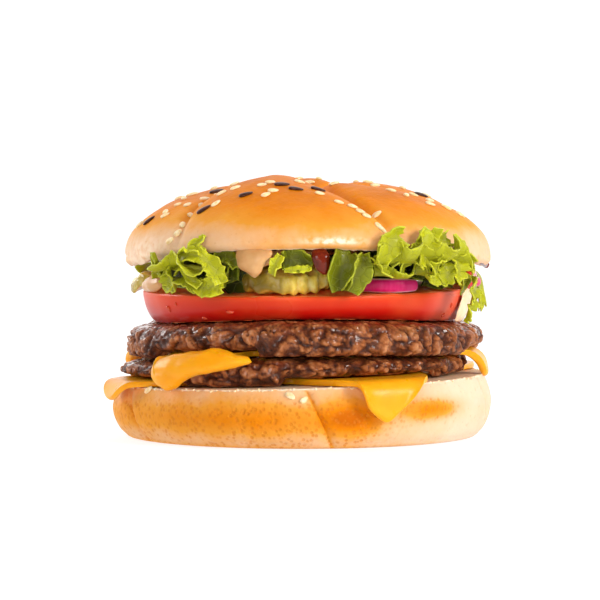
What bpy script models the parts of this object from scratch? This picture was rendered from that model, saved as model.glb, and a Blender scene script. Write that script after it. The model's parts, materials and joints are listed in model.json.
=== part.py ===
"""A double cheeseburger in a knotted, seeded roll, built from its named sizes.

Metres, +Z up. The burger stands on its heel: the origin is the middle of the heel's flat underside.
Its front, where the fillings show most, faces -Y. Azimuths are degrees from the front towards +X.
"""

import math
import random
from dataclasses import dataclass

import bmesh
import bpy
from mathutils import Matrix, Vector, noise

GAP = 0.0003  # free space between touching pieces

# The layers, as (height at the middle, rise for each metre to the right, how far the layer sags SAG_REACH to
# either side): the stack leans a little, and its patties droop to the left and the right.
HEEL_TOP = (0.0190, 0.028, 0.0003)
LOWER_PATTY_TOP = (0.0279, 0.018, 0.0022)
UPPER_PATTY_TOP = (0.0395, 0.010, 0.0032)
TOMATO_TOP = (0.0483, 0.009, 0.0)
SAG_REACH = 0.050
TOMATO_FALL = 0.0013  # how far the tomato's top face falls to its rim

HEEL_RADIUS = 0.0600
LOWER_PATTY_RADIUS = 0.0532
UPPER_PATTY_RADIUS = 0.0556
TOMATO_RADIUS = 0.0512
CROWN_RADIUS = 0.0577
LOWER_PATTY_X = -0.0022
UPPER_PATTY_X = 0.0013
TOMATO_X = 0.0008
CROWN_X = 0.0020

# Profiles from the middle of the top face, round the edge, to the middle of the underside. Each pair is
# (share of the radius, share of the height), evenly spaced along the way.
HEEL_PROFILE = [(0, 1), (0.35, 1), (0.7, 1), (0.955, 1), (0.972, 0.93), (0.993, 0.74), (1, 0.54),
                (0.985, 0.3), (0.945, 0.1), (0.87, 0), (0.55, 0), (0, 0)]
PATTY_PROFILE = [(0, 1), (0.42, 1), (0.8, 1), (0.91, 0.94), (0.965, 0.8), (1, 0.5), (0.985, 0.22),
                 (0.93, 0.05), (0.82, 0), (0.42, 0), (0, 0)]
PATTY_DROOP = 0.0023  # how far a patty's rim hangs down past the cheese under it
PATTY_DROOP_FROM = 0.88
PATTY_DROOP_CLEAR = 7.0  # degrees that it keeps from a corner of the cheese
TOMATO_PROFILE = [(0, 1), (0.6, 1), (0.97, 1), (1, 0.94), (0.992, 0.66), (0.975, 0.38), (0.95, 0.14),
                  (0.922, 0), (0.5, 0), (0, 0)]
PICKLE_PROFILE = [(0, 1), (0.45, 1), (0.9, 1), (1, 0.72), (1, 0.28), (0.9, 0), (0.45, 0), (0, 0)]

# The crown: a dome over an arched, cut underside, drawn in by five seams into overlapping lobes.
CROWN_SIDE_Z = 0.0532
CROWN_ARCH = 0.0084
CROWN_ARCH_POWER = 3.0
CROWN_BACK_DROP = 0.0045
CROWN_TOP_Z = 0.0774
CROWN_LIP = 0.0024
CROWN_TUCK = 0.965
DOME_POWER = 2.35
DOME_SHARE = 0.74
LIP_SHARE = 0.84
# Each lobe: (azimuth of its left seam at the rim, twist of that seam towards the middle, extra rise).
CROWN_LOBES = [(-46, -52, 0.0062), (27, -14, 0.0036), (99, -34, 0.0034), (171, -40, 0.0040),
               (243, -30, 0.0030)]
SEAM_DEPTH = 0.0022
SEAM_WIDTH = 0.0032
LOBE_LEAN = 0.86

HEEL_SEAMS = [-64, 5.5, 80, 152, 224]
HEEL_SEAM_LEAN = 9.0
HEEL_SEAM_WIDTH = 3.2
HEEL_SEAM_DEPTH = 0.0011

SEED_LENGTH = 0.0034
SEED_WIDTH = 0.0021
SEED_HEIGHT = 0.0013
CROWN_SEEDS = 20
# Seeds on the heel's front: (azimuth, height share, turn).
HEEL_SEEDS = [(-3.5, 0.86, 40), (-0.3, 0.80, 120), (-56, 0.90, 10)]

CHEESE_THICKNESS = 0.0018
CHEESE_INSIDE = 0.0415  # reach between the corners, out of sight under the patties
CHEESE_SWELL = 0.0024
CHEESE_STIFF = 0.0095  # an overhang shorter than this hardly bends


@dataclass
class Corner:
    """How one melted corner of a cheese slice hangs.

    reach is from the slice's middle to the tip, width the degrees from the tip to where the corner ends, and
    blunt how rounded the tip is. drift is how far it slides sideways, and swell how much it thickens.
    """
    azimuth: float
    reach: float
    width: float
    blunt: float
    drift: float
    bend_radius: float
    bend: float
    swell: float


LOWER_CHEESE = [Corner(26, 0.0722, 37, 0.13, -2.0, 0.0034, 86, 0.1),
                Corner(117, 0.0600, 34, 0.3, 0.0, 0.0034, 70, 0.0),
                Corner(205, 0.0640, 36, 0.2, 0.0, 0.0034, 80, 0.1),
                Corner(289, 0.0652, 30, 0.5, 0.0, 0.0018, 98, 0.2)]
UPPER_CHEESE = [Corner(-40, 0.0632, 20, 0.6, -2.0, 0.0040, 88, 1.0),
                Corner(-28, 0.0588, 17, 0.9, -2.0, 0.0040, 88, 1.0),
                Corner(80, 0.0632, 18, 0.3, 5.0, 0.0062, 86, 0.3),
                Corner(150, 0.0580, 30, 0.3, 0.0, 0.0040, 70, 0.1),
                Corner(236, 0.0630, 30, 0.3, 0.0, 0.0040, 86, 0.3)]
# A slice's section from the middle of its top to the middle of its underside, as (share of the way to the
# rim, share of the thickness). The share CHEESE_HINGE falls where the slice leaves its support, or at share
# CHEESE_RIM of its reach if it ends sooner.
CHEESE_HINGE = 0.87
CHEESE_RIM = 0.95
CHEESE_PROFILE = [(0, 1), (0.6, 1), (0.8, 1), (0.87, 1), (0.935, 1), (0.985, 1), (1, 0.5), (0.985, 0),
                  (0.935, 0), (0.87, 0), (0.8, 0), (0.6, 0), (0, 0)]

PICKLE_WAVE = 0.0070
PICKLE_WAVE_DEPTH = 0.0006
PICKLE_DROOP = 85.0
# Each pickle: (x, y, radius, thickness, direction of its waves).
PICKLES = {"pickle_front": (-0.0050, -0.0350, 0.0140, 0.0060, 25),
           "pickle_left": (-0.0425, 0.0045, 0.0115, 0.0042, 70),
           "pickle_back": (0.0100, 0.0370, 0.0135, 0.0042, 140)}

ONION_THICKNESS = 0.0026
# Each piece of onion ring: (x, y of the ring's middle, radius, first and last azimuth, height).
ONIONS = {"onion_front": (0.0235, -0.0190, 0.0225, -21, 40, 0.0044),
          "onion_right": (0.0395, -0.0050, 0.0165, 52, 120, 0.0029)}


@dataclass
class Leaf:
    """A ruffled leaf between two azimuths: flat from its root to its lip, waving more and more to its margin.

    root is (radius, height). lip is the same, or None for a leaf that comes out past the crown's rim and
    stays outside it. reach and height are even steps along the margin: how far it goes past the lip, and its
    height.
    """
    first: float
    last: float
    folds: float
    phase: float
    turn: float
    root: tuple
    lip: tuple
    reach: tuple
    height: tuple
    columns: int
    rows: int = 4


LEAVES = {
    "lettuce_left_high": Leaf(-53, -31, 1.7, 0.62, 1.20, (0.0380, 0.0560), None,
                              (0.003, 0.005, 0.005, 0.004), (0.0580, 0.0602, 0.0592, 0.0565), 18),
    "lettuce_left_low": Leaf(-58, -31, 1.9, 0.30, 1.15, (0.0450, 0.0514), (0.0545, 0.0518),
                             (0.003, 0.004, 0.005, 0.005), (0.0514, 0.0500, 0.0478, 0.0502), 20),
    "lettuce_right_high": Leaf(20, 57, 3.1, 0.10, 1.35, (0.0380, 0.0572), None,
                               (0.004, 0.006, 0.007, 0.003), (0.0605, 0.0630, 0.0635, 0.0558), 32),
    "lettuce_right_low": Leaf(22, 64, 3.0, 0.35, 1.15, (0.0440, 0.0534), (0.0535, 0.0533),
                              (0.002, 0.003, 0.005, 0.004), (0.0528, 0.0528, 0.0484, 0.0492), 28),
    "lettuce_centre": Leaf(3.5, 19.5, 1.4, 0.30, 1.05, (0.0400, 0.0588), (0.0480, 0.0590),
                           (0.001, 0.002, 0.003, 0.003), (0.0545, 0.0540, 0.0535, 0.0526), 16),
    "lettuce_side": Leaf(94, 122, 2.2, 0.20, 1.00, (0.0420, 0.0518), (0.0532, 0.0514),
                         (0.001, 0.002, 0.002, 0.001), (0.0405, 0.0425, 0.0460, 0.0485), 20),
    "lettuce_back_right": Leaf(128, 172, 2.8, 0.55, 1.30, (0.0380, 0.0552), None,
                               (0.003, 0.005, 0.006, 0.004), (0.0520, 0.0540, 0.0560, 0.0560), 25),
    "lettuce_back_left": Leaf(-172, -114, 3.4, 0.05, 1.30, (0.0380, 0.0552), None,
                              (0.004, 0.006, 0.005, 0.003), (0.0570, 0.0560, 0.0540, 0.0520), 28),
}
# The crumpled leaf that lies across the tomato: x, y of its middle, half sizes, waves and how far they slant.
INNER_LEAF = (0.0085, 0.0010, 0.0345, 0.0190, 1.6, 1.9)
LEAF_THICKNESS = 0.0006
LEAF_LIP_ROW = 1
LEAF_LIP_TURN = 0.10
LEAF_LIP_ROOM = 0.0013
LEAF_CURL = 1.5
SECOND_WAVE = 0.22
SECOND_WAVE_COUNT = 2.3

SAUCE_THICKNESS = 0.0016
SAUCE_RADIUS = 0.0400
# Where the cream sauce runs out under the crown: (azimuth, half width, radius reached, lowest height).
SAUCE_TONGUE = (-17.5, 8.5, 0.0548, 0.0552)

COLOURS = {
    "crust": ((0.86, 0.45, 0.12), 0.5),
    "beef": ((0.20, 0.075, 0.035), 0.45),
    "cheese": ((0.98, 0.50, 0.045), 0.35),
    "tomato": ((0.72, 0.06, 0.02), 0.2),
    "pickle": ((0.38, 0.30, 0.04), 0.3),
    "onion": ((0.42, 0.03, 0.13), 0.35),
    "lettuce": ((0.40, 0.50, 0.03), 0.45),
    "cream_sauce": ((0.87, 0.55, 0.30), 0.3),
    "ketchup": ((0.42, 0.02, 0.01), 0.2),
}


def smooth(low, high, value):
    """0 at low and before it, 1 at high and past it, and a soft step between them."""
    share = min(1.0, max(0.0, (value - low) / (high - low)))
    return share * share * (3.0 - 2.0 * share)


def mix(first, second, share):
    return first + (second - first) * share


def along(values, share):
    """The value at a share of the way along evenly spaced values, with soft steps between them."""
    place = min(1.0, max(0.0, share)) * (len(values) - 1)
    index = min(int(place), len(values) - 2)
    return mix(values[index], values[index + 1], smooth(0.0, 1.0, place - index))


def on_profile(profile, share):
    """The point at a share of the way along a profile, on a smooth curve through its points."""
    place = min(1.0, max(0.0, share)) * (len(profile) - 1)
    index = min(int(place), len(profile) - 2)
    t = place - index
    picked = [profile[min(max(index + k, 0), len(profile) - 1)] for k in (-1, 0, 1, 2)]
    if t < 1e-6:
        return picked[1]
    return tuple(
        b + 0.5 * t * (c - a + t * (2 * a - 5 * b + 4 * c - d + t * (3 * (b - c) + d - a)))
        for a, b, c, d in zip(*picked)
    )


def out_at(profile, up):
    """Radius share of a profile's side at a height share."""
    side = [pair for pair in profile if pair[0] > 0.86]
    for (out_a, up_a), (out_b, up_b) in zip(side, side[1:]):
        if up_b <= up <= up_a and up_a > up_b:
            return mix(out_a, out_b, (up_a - up) / (up_a - up_b))
    return side[0][0]


def apart(first, second):
    """The signed difference of two azimuths in degrees."""
    return (first - second + 180.0) % 360.0 - 180.0


def hump(offset, width):
    return math.exp(-((offset / width) ** 2))


def polar(azimuth, radius, z, middle_x=0.0):
    turn = math.radians(azimuth)
    return Vector((middle_x + radius * math.sin(turn), -radius * math.cos(turn), z))


def level(layer, x):
    height, rise, sag = layer
    return height + rise * x - sag * (x / SAG_REACH) ** 2


def above(layer, lift):
    return layer[0] + lift, layer[1], layer[2]


def lumps(point, size, seed):
    """Smooth noise from about -1 to 1, with lumps of that size."""
    return noise.noise(point / size + Vector((seed, 0.0, 0.0)))


def make_material(name):
    colour, roughness = COLOURS[name]
    material = bpy.data.materials.new(name)
    material.use_nodes = True
    shader = material.node_tree.nodes["Principled BSDF"]
    shader.inputs["Base Color"].default_value = (*colour, 1.0)
    shader.inputs["Roughness"].default_value = roughness
    shader.inputs["Metallic"].default_value = 0.0
    return material


def add_object(name, shape, material, collection):
    mesh = bpy.data.meshes.new(name)
    shape.to_mesh(mesh)
    shape.free()
    mesh.shade_smooth()
    made = bpy.data.objects.new(name, mesh)
    mesh.materials.append(material)
    collection.objects.link(made)
    return made


def shaped_sphere(columns, rows, place):
    """A UV sphere whose points are moved to place(azimuth, share): share 0 is its top and 1 its bottom."""
    shape = bmesh.new()
    bmesh.ops.create_uvsphere(shape, u_segments=columns, v_segments=rows, radius=1.0)
    for vertex in shape.verts:
        azimuth = math.degrees(math.atan2(vertex.co.x, -vertex.co.y))
        share = math.acos(min(1.0, max(-1.0, vertex.co.z))) / math.pi
        vertex.co = place(azimuth, share)
    return shape


def shaped_grid(columns, rows, place):
    """A grid whose points are moved to place(column, row), counted from 0."""
    shape = bmesh.new()
    bmesh.ops.create_grid(shape, x_segments=columns, y_segments=rows, size=1.0)
    for vertex in shape.verts:
        column = round((vertex.co.x + 1.0) / 2.0 * columns)
        row = round((vertex.co.y + 1.0) / 2.0 * rows)
        vertex.co = place(column, row)
    return shape


def add_thickness(sheet, thickness):
    """Splits a sheet into triangles and makes it solid, half to each side."""
    sheet.modifiers.new("Split", "TRIANGULATE")
    solidify = sheet.modifiers.new("Thickness", "SOLIDIFY")
    solidify.thickness = thickness
    solidify.offset = 0.0


# Bread

def heel_radius(azimuth):
    turn = math.radians(azimuth)
    return HEEL_RADIUS * (1.0 + 0.008 * math.cos(2 * turn + 0.6) + 0.006 * math.cos(3 * turn))


def heel_point(azimuth, share):
    out, up = on_profile(HEEL_PROFILE, share)
    radius = heel_radius(azimuth) * out
    side = smooth(0.86, 0.97, out) * (1.0 - smooth(0.9, 1.0, up))
    for seam in HEEL_SEAMS:
        offset = apart(azimuth, seam + HEEL_SEAM_LEAN * (0.5 - up))
        radius -= HEEL_SEAM_DEPTH * side * hump(offset, HEEL_SEAM_WIDTH)
    point = polar(azimuth, radius, 0.0)
    point.z = max(0.0, up) * level(HEEL_TOP, point.x)
    return point


def under_crown(x, y):
    """Height of the crown's cut underside, which arches over the fillings from side to side."""
    arch = 1.0 - min(1.0, abs(x - CROWN_X) / CROWN_RADIUS) ** CROWN_ARCH_POWER
    back = max(0.0, y / CROWN_RADIUS) ** 2
    return CROWN_SIDE_Z + CROWN_ARCH * arch - CROWN_BACK_DROP * back


def crown_lobe(azimuth, out):
    """(lobe, share of the way across it, its width in degrees) at a place on the dome."""
    loosened = (1.0 - out) ** 1.2
    seams = [seam + twist * loosened for seam, twist, _ in CROWN_LOBES]
    for index, seam in enumerate(seams):
        width = (seams[(index + 1) % len(seams)] - seam) % 360.0
        offset = (azimuth - seam) % 360.0
        if offset < width:
            return index, offset / width, width
    return 0, 0.0, 72.0


def crown_swelling(azimuth, out):
    """How far the dough stands out from the plain dome: lobes, less the seams between them."""
    out = min(1.0, max(0.0, out))
    index, across, width = crown_lobe(azimuth, out)
    rise = CROWN_LOBES[index][2]
    lobe = math.sin(math.pi * across ** LOBE_LEAN) ** 0.7
    radius = max(out, 0.05) * CROWN_RADIUS
    to_seam = min(across, 1.0 - across) * math.radians(width) * radius
    seam = SEAM_DEPTH * hump(to_seam, SEAM_WIDTH)
    return (rise * lobe * smooth(1.15, 0.45, out) - seam) * smooth(0.02, 0.30, out)


def crown_radius(azimuth):
    _, across, _ = crown_lobe(azimuth, 1.0)
    return CROWN_RADIUS * (0.975 + 0.030 * math.sin(math.pi * across) ** 0.5)


def crown_point(azimuth, share):
    """A point of the crown: the dome, the lip that turns in at its foot, then the cut underside."""
    radius = crown_radius(azimuth)
    foot = polar(azimuth, radius * CROWN_TUCK, 0.0, CROWN_X)
    lip_z = under_crown(foot.x, foot.y)
    if share > LIP_SHARE:
        left = (1.0 - share) / (1.0 - LIP_SHARE)
        point = polar(azimuth, radius * CROWN_TUCK * left, 0.0, CROWN_X)
        point.z = under_crown(point.x, point.y)
        return point
    if share > DOME_SHARE:
        down = (share - DOME_SHARE) / (LIP_SHARE - DOME_SHARE)
        z = lip_z + CROWN_LIP * (1.0 - down)
        return polar(azimuth, radius * mix(1.0, CROWN_TUCK, down ** 2), z, CROWN_X)
    angle = share / DOME_SHARE * math.pi / 2.0
    out = math.sin(angle) ** (2.0 / DOME_POWER)
    up = max(0.0, math.cos(angle)) ** (2.0 / DOME_POWER)
    base = lip_z + CROWN_LIP
    swelling = crown_swelling(azimuth, out)
    return polar(azimuth, radius * out + swelling * out ** 3 * up, mix(base, CROWN_TOP_Z, up)
                 + swelling * math.sqrt(up), CROWN_X)


def make_seed(centre, outward, turn, material, collection, name):
    """One seed lying on a surface: a flattened drop, half sunk in the crust."""
    shape = bmesh.new()
    bmesh.ops.create_uvsphere(shape, u_segments=6, v_segments=4, radius=0.5)
    for vertex in shape.verts:
        taper = 1.0 - 0.5 * (vertex.co.z + 0.5)
        vertex.co = Vector((vertex.co.z * SEED_LENGTH, vertex.co.x * SEED_WIDTH * (taper + 0.35),
                            vertex.co.y * SEED_HEIGHT))
    facing = outward.to_track_quat("Z", "Y").to_matrix().to_4x4()
    facing.translation = centre
    spin = Matrix.Rotation(math.radians(turn), 4, "Z")
    bmesh.ops.transform(shape, matrix=facing @ spin, verts=shape.verts)
    return add_object(name, shape, material, collection)


def facing_out(place, azimuth, share):
    """(point, outward direction) of a surface given by place(azimuth, share)."""
    point = place(azimuth, share)
    across = place(azimuth + 1.0, share) - point
    down = place(azimuth, share + 0.01) - point
    return point, down.cross(across).normalized()


def crown_seed_places():
    """Azimuth and share of each seed: some scattered round the top, the rest caught in the seams."""
    draw = random.Random(7)
    places = []
    for number in range(CROWN_SEEDS):
        if number % 2:
            seam, twist, _ = CROWN_LOBES[(number // 2) % len(CROWN_LOBES)]
            share = 0.16 + 0.36 * (number // 2 // len(CROWN_LOBES)) / 2.0 + draw.uniform(-0.02, 0.02)
            out = math.sin(share / DOME_SHARE * math.pi / 2.0) ** (2.0 / DOME_POWER)
            azimuth = seam + twist * (1.0 - out) ** 1.2 + draw.uniform(-4.0, 4.0)
        else:
            share = 0.07 + 0.20 * math.sqrt(number / CROWN_SEEDS)
            azimuth = number * 137.5 / 2.0 + draw.uniform(-10.0, 10.0)
        places.append((azimuth, share, draw.uniform(0.0, 180.0)))
    return places


def fuse(target, collection):
    """Joins every object of a collection to the target, and removes them."""
    union = target.modifiers.new("Seeds", "BOOLEAN")
    union.operation = "UNION"
    union.operand_type = "COLLECTION"
    union.collection = collection
    union.solver = "EXACT"
    graph = bpy.context.evaluated_depsgraph_get()
    joined = bpy.data.meshes.new_from_object(target.evaluated_get(graph))
    target.modifiers.remove(union)
    target.data = joined
    for seed in list(collection.objects):
        bpy.data.objects.remove(seed)
    bpy.data.collections.remove(collection)


def seed_collection(name):
    seeds = bpy.data.collections.new(name)
    bpy.context.scene.collection.children.link(seeds)
    return seeds


def add_heel(material, collection):
    heel = add_object("bun_heel", shaped_sphere(48, 11, heel_point), material, collection)
    seeds = seed_collection("heel_seeds")
    for number, (azimuth, up, turn) in enumerate(HEEL_SEEDS):
        share = mix(6 / 11, 4 / 11, (up - 0.54) / (0.93 - 0.54))
        point, outward = facing_out(heel_point, azimuth, share)
        make_seed(point, outward, turn, material, seeds, f"heel_seed_{number}")
    fuse(heel, seeds)


def add_crown(material, collection):
    crown = add_object("bun_crown", shaped_sphere(52, 17, crown_point), material, collection)
    seeds = seed_collection("crown_seeds")
    for number, (azimuth, share, turn) in enumerate(crown_seed_places()):
        point, outward = facing_out(crown_point, azimuth, share)
        make_seed(point, outward, turn, material, seeds, f"crown_seed_{number}")
    fuse(crown, seeds)


# Beef, tomato, pickles and onion

def rim_droop(corners, cheese_x, middle_x, radius, azimuth):
    """How far a patty's rim hangs past the cheese under it: not at all where the slice comes out near by."""
    turns = (-PATTY_DROOP_CLEAR, 0.0, PATTY_DROOP_CLEAR)
    reach = max(slice_reach(corners, azimuth + turn)[0] for turn in turns)
    reach += (cheese_x - middle_x) * math.sin(math.radians(azimuth))
    return PATTY_DROOP * smooth(0.0024, 0.0060, PATTY_DROOP_FROM * radius - reach)


def add_patty(name, middle_x, radius, bottom, top, seed, corners, cheese_x, material, collection):
    """A minced patty: a thick disc with a craggy side and slightly uneven faces."""

    def place(azimuth, share):
        out, up = on_profile(PATTY_PROFILE, share)
        turn = math.radians(azimuth)
        outline = radius * (1.0 + 0.010 * math.cos(2 * turn + seed) + 0.008 * math.cos(5 * turn))
        point = polar(azimuth, outline * out, 0.0, middle_x)
        low, high = level(bottom, point.x), level(top, point.x)
        spot = Vector((point.x, point.y, mix(low, high, up)))
        rough = lumps(spot, 0.0065, seed) + 0.5 * lumps(spot, 0.0032, seed + 5)
        side = smooth(0.8, 0.95, out)
        point += polar(azimuth, 0.0019 * rough * side, 0.0)
        dent = 0.0007 * (0.5 + 0.5 * rough) * (1.0 - side)
        point.z = mix(low + dent, high - dent, min(1.0, max(0.0, up)))
        hanging = smooth(PATTY_DROOP_FROM, 0.93, out) * smooth(0.8, 0.3, up)
        point.z -= hanging * rim_droop(corners, cheese_x, middle_x, radius, azimuth)
        return point

    add_object(name, shaped_sphere(46, 10, place), material, collection)


def tomato_radius(azimuth):
    turn = math.radians(azimuth)
    return TOMATO_RADIUS * (1.0 + 0.006 * math.cos(3 * turn + 1.0) + 0.004 * math.cos(5 * turn))


def tomato_top(x, y):
    """Height of the tomato's top face, which falls a little towards its rim."""
    out = math.hypot(x - TOMATO_X, y) / TOMATO_RADIUS
    return level(TOMATO_TOP, x) - TOMATO_FALL * smooth(0.60, 1.0, out)


def tomato_point(azimuth, share):
    out, up = on_profile(TOMATO_PROFILE, share)
    point = polar(azimuth, tomato_radius(azimuth) * out, 0.0, TOMATO_X)
    bottom = level(above(UPPER_PATTY_TOP, GAP), point.x)
    point.z = mix(bottom, tomato_top(point.x, point.y), min(1.0, max(0.0, up)))
    return point


def tomato_wall(azimuth, z):
    """Radius of the tomato's side at a height."""
    spot = polar(azimuth, TOMATO_RADIUS, z, TOMATO_X)
    bottom, top = level(above(UPPER_PATTY_TOP, GAP), spot.x), tomato_top(spot.x, spot.y)
    return tomato_radius(azimuth) * out_at(TOMATO_PROFILE, min(0.94, (z - bottom) / (top - bottom)))


def pickle_droop(x, y):
    """How far a pickle bends down where it hangs past the tomato's rim."""
    past = max(0.0, math.hypot(x - TOMATO_X, y) - TOMATO_RADIUS + 0.002)
    return PICKLE_DROOP * past * past


def add_pickle(name, material, collection):
    middle_x, middle_y, radius, thickness, direction = PICKLES[name]
    waves = polar(direction, 1.0, 0.0)

    def place(azimuth, share):
        out, up = on_profile(PICKLE_PROFILE, share)
        point = polar(azimuth, radius * out * (1.0 + 0.03 * math.cos(math.radians(3 * azimuth))), 0.0)
        ripple = PICKLE_WAVE_DEPTH * math.sin(2.0 * math.pi * point.dot(waves) / PICKLE_WAVE)
        point += Vector((middle_x, middle_y, 0.0))
        foot = tomato_top(point.x, point.y) + GAP + PICKLE_WAVE_DEPTH
        point.z = foot + ripple + thickness * up - pickle_droop(point.x, point.y)
        return point

    add_object(name, shaped_sphere(18, 7, place), material, collection)


def add_onion(name, material, collection):
    """Part of an onion ring: a bent slat standing on the tomato, its outer wall slightly bowed."""
    middle_x, middle_y, radius, first, last, height = ONIONS[name]
    shape = bmesh.new()
    bmesh.ops.create_cube(shape, size=1.0)
    long_edges = [edge for edge in shape.edges if abs(edge.verts[0].co.x - edge.verts[1].co.x) > 0.5]
    bmesh.ops.subdivide_edges(shape, edges=long_edges, cuts=9, use_grid_fill=True)
    upright = [edge for edge in shape.edges if abs(edge.verts[0].co.z - edge.verts[1].co.z) > 0.5]
    bmesh.ops.subdivide_edges(shape, edges=upright, cuts=2, use_grid_fill=True)
    for vertex in shape.verts:
        azimuth = mix(first, last, vertex.co.x + 0.5)
        bow = 0.0005 * (1.0 - (2.0 * vertex.co.z) ** 2)
        bent = polar(azimuth, radius + bow - ONION_THICKNESS * (vertex.co.y + 0.5), 0.0)
        bent += Vector((middle_x, middle_y, 0.0))
        bent.z = tomato_top(bent.x, bent.y) + GAP + height * (vertex.co.z + 0.5)
        vertex.co = bent
    bmesh.ops.recalc_face_normals(shape, faces=shape.faces)
    add_object(name, shape, material, collection)


# Cheese

def corner_reach(corner, azimuth):
    """How far one corner takes its slice out at an azimuth: straight flanks that meet in a rounded tip."""
    offset = apart(azimuth, corner.azimuth) / corner.width
    away = math.hypot(offset, corner.blunt) - corner.blunt
    tip = max(0.0, 1.0 - away / (math.hypot(1.0, corner.blunt) - corner.blunt))
    return mix(CHEESE_INSIDE, corner.reach, tip)


def slice_reach(corners, azimuth):
    """Length of a melted slice from its middle to its rim, and the corner that takes it there."""
    return max(((corner_reach(corner, azimuth), corner) for corner in corners), key=lambda pair: pair[0])


def draped(corners, middle_x, edge, bottom, azimuth, share):
    """A point of a slice that lies level out to edge(azimuth), the rim under it, then hangs down."""
    along_slice, through = on_profile(CHEESE_PROFILE, share)
    reach, corner = slice_reach(corners, azimuth)
    rest = edge(azimuth)
    hinge = min(rest, CHEESE_RIM * reach)
    if along_slice < CHEESE_HINGE:
        path = hinge * along_slice / CHEESE_HINGE
    else:
        path = mix(hinge, reach, (along_slice - CHEESE_HINGE) / (1.0 - CHEESE_HINGE))
    past = max(0.0, path - rest)
    azimuth += corner.drift * smooth(0.0, 0.010, past)
    hang = max(0.05, smooth(0.0, CHEESE_STIFF, reach - rest))
    bend_radius = corner.bend_radius / hang
    angle = min(math.radians(corner.bend) * hang, past / bend_radius)
    straight = past - bend_radius * angle
    out = min(path, rest) + bend_radius * math.sin(angle) + straight * math.cos(angle)
    drop = bend_radius * (1.0 - math.cos(angle)) + straight * math.sin(angle)
    swell = CHEESE_SWELL * corner.swell * smooth(0.001, 0.007, past)
    lift = (CHEESE_THICKNESS + swell) * min(1.0, max(0.0, through))
    point = polar(azimuth, out + lift * math.sin(angle), 0.0, middle_x)
    point.z = level(bottom, point.x) - drop + lift * math.cos(angle)
    return point


def add_cheese(name, corners, middle_x, edge, bottom, material, collection):
    def place(azimuth, share):
        return draped(corners, middle_x, edge, bottom, azimuth, share)

    add_object(name, shaped_sphere(44, 12, place), material, collection)


# Lettuce

def waving_line(leaf, turn, columns):
    """(along, up) at each column of a line whose heading swings by up to turn radians, for a length of 1."""
    fine = 8
    x = z = 0.0
    points = [(x, z)]
    for step in range(columns * fine):
        phase = 2.0 * math.pi * (leaf.folds * (step + 0.5) / (columns * fine) + leaf.phase)
        heading = turn * (math.sin(phase) + SECOND_WAVE * math.sin(SECOND_WAVE_COUNT * phase + 1.0))
        x += math.cos(heading)
        z += math.sin(heading)
        if (step + 1) % fine == 0:
            points.append((x, z))
    return [(px / x, (pz - z * index / columns) / x) for index, (px, pz) in enumerate(points)]


def leaf_lip(leaf, azimuth):
    """(radius, height) where a leaf starts to ruffle."""
    if leaf.lip:
        return leaf.lip
    radius = crown_radius(azimuth)
    foot = polar(azimuth, radius, 0.0, CROWN_X)
    return radius + GAP + LEAF_THICKNESS, min(leaf.root[1], under_crown(foot.x, foot.y) - LEAF_LIP_ROOM)


def clear_inside(point, azimuth):
    """Keeps a leaf between the tomato and the crown's underside."""
    room = GAP + LEAF_THICKNESS
    if math.hypot(point.x - CROWN_X, point.y) < crown_radius(azimuth) + GAP:
        point.z = min(point.z, under_crown(point.x, point.y) - room)
    if math.hypot(point.x - TOMATO_X, point.y) < tomato_radius(azimuth) + 2 * GAP:
        point.z = max(point.z, tomato_top(point.x, point.y) + room)
    return point


def leaf_point(leaf, lines, columns, rows, column, row):
    across, up = lines[row][column]
    azimuth = mix(leaf.first, leaf.last, across)
    wave = up * math.radians(leaf.last - leaf.first) * CROWN_RADIUS
    lip_radius, lip_z = leaf_lip(leaf, azimuth)
    if row <= LEAF_LIP_ROW:
        inner = row / LEAF_LIP_ROW
        radius, z = mix(leaf.root[0], lip_radius, inner), mix(leaf.root[1], lip_z, inner)
        return clear_inside(polar(azimuth, radius, z + wave, CROWN_X), azimuth)
    outer = (row - LEAF_LIP_ROW) / (rows - LEAF_LIP_ROW)
    reach, fall = along(leaf.reach, column / columns), along(leaf.height, column / columns) - lip_z
    steep = math.atan2(fall, reach) * outer ** 0.5
    radius = lip_radius + reach * (1.0 - (1.0 - outer) ** LEAF_CURL) - wave * math.sin(steep)
    z = lip_z + fall * outer ** LEAF_CURL + wave * math.cos(steep)
    point = polar(azimuth, radius, z, CROWN_X)
    if leaf.lip and point.z > under_crown(point.x, point.y) - GAP - LEAF_THICKNESS:
        return clear_inside(point, azimuth)
    if leaf.lip:
        least = tomato_radius(azimuth) + GAP + LEAF_THICKNESS
    else:
        least = crown_radius(azimuth) + GAP + LEAF_THICKNESS
    return polar(azimuth, max(radius, least), z, CROWN_X)


def leaf_turn(leaf, row):
    """How far the leaf's line swings in a row."""
    if row <= LEAF_LIP_ROW:
        return LEAF_LIP_TURN
    outer = (row - LEAF_LIP_ROW) / (leaf.rows - LEAF_LIP_ROW)
    return mix(LEAF_LIP_TURN, leaf.turn, outer ** 0.7)


def add_leaf(name, material, collection):
    leaf = LEAVES[name]
    columns, rows = leaf.columns, leaf.rows
    lines = [waving_line(leaf, leaf_turn(leaf, row), columns) for row in range(rows + 1)]

    def place(column, row):
        return leaf_point(leaf, lines, columns, rows, column, row)

    shape = shaped_grid(columns, rows, place)
    add_thickness(add_object(name, shape, material, collection), LEAF_THICKNESS)


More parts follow.
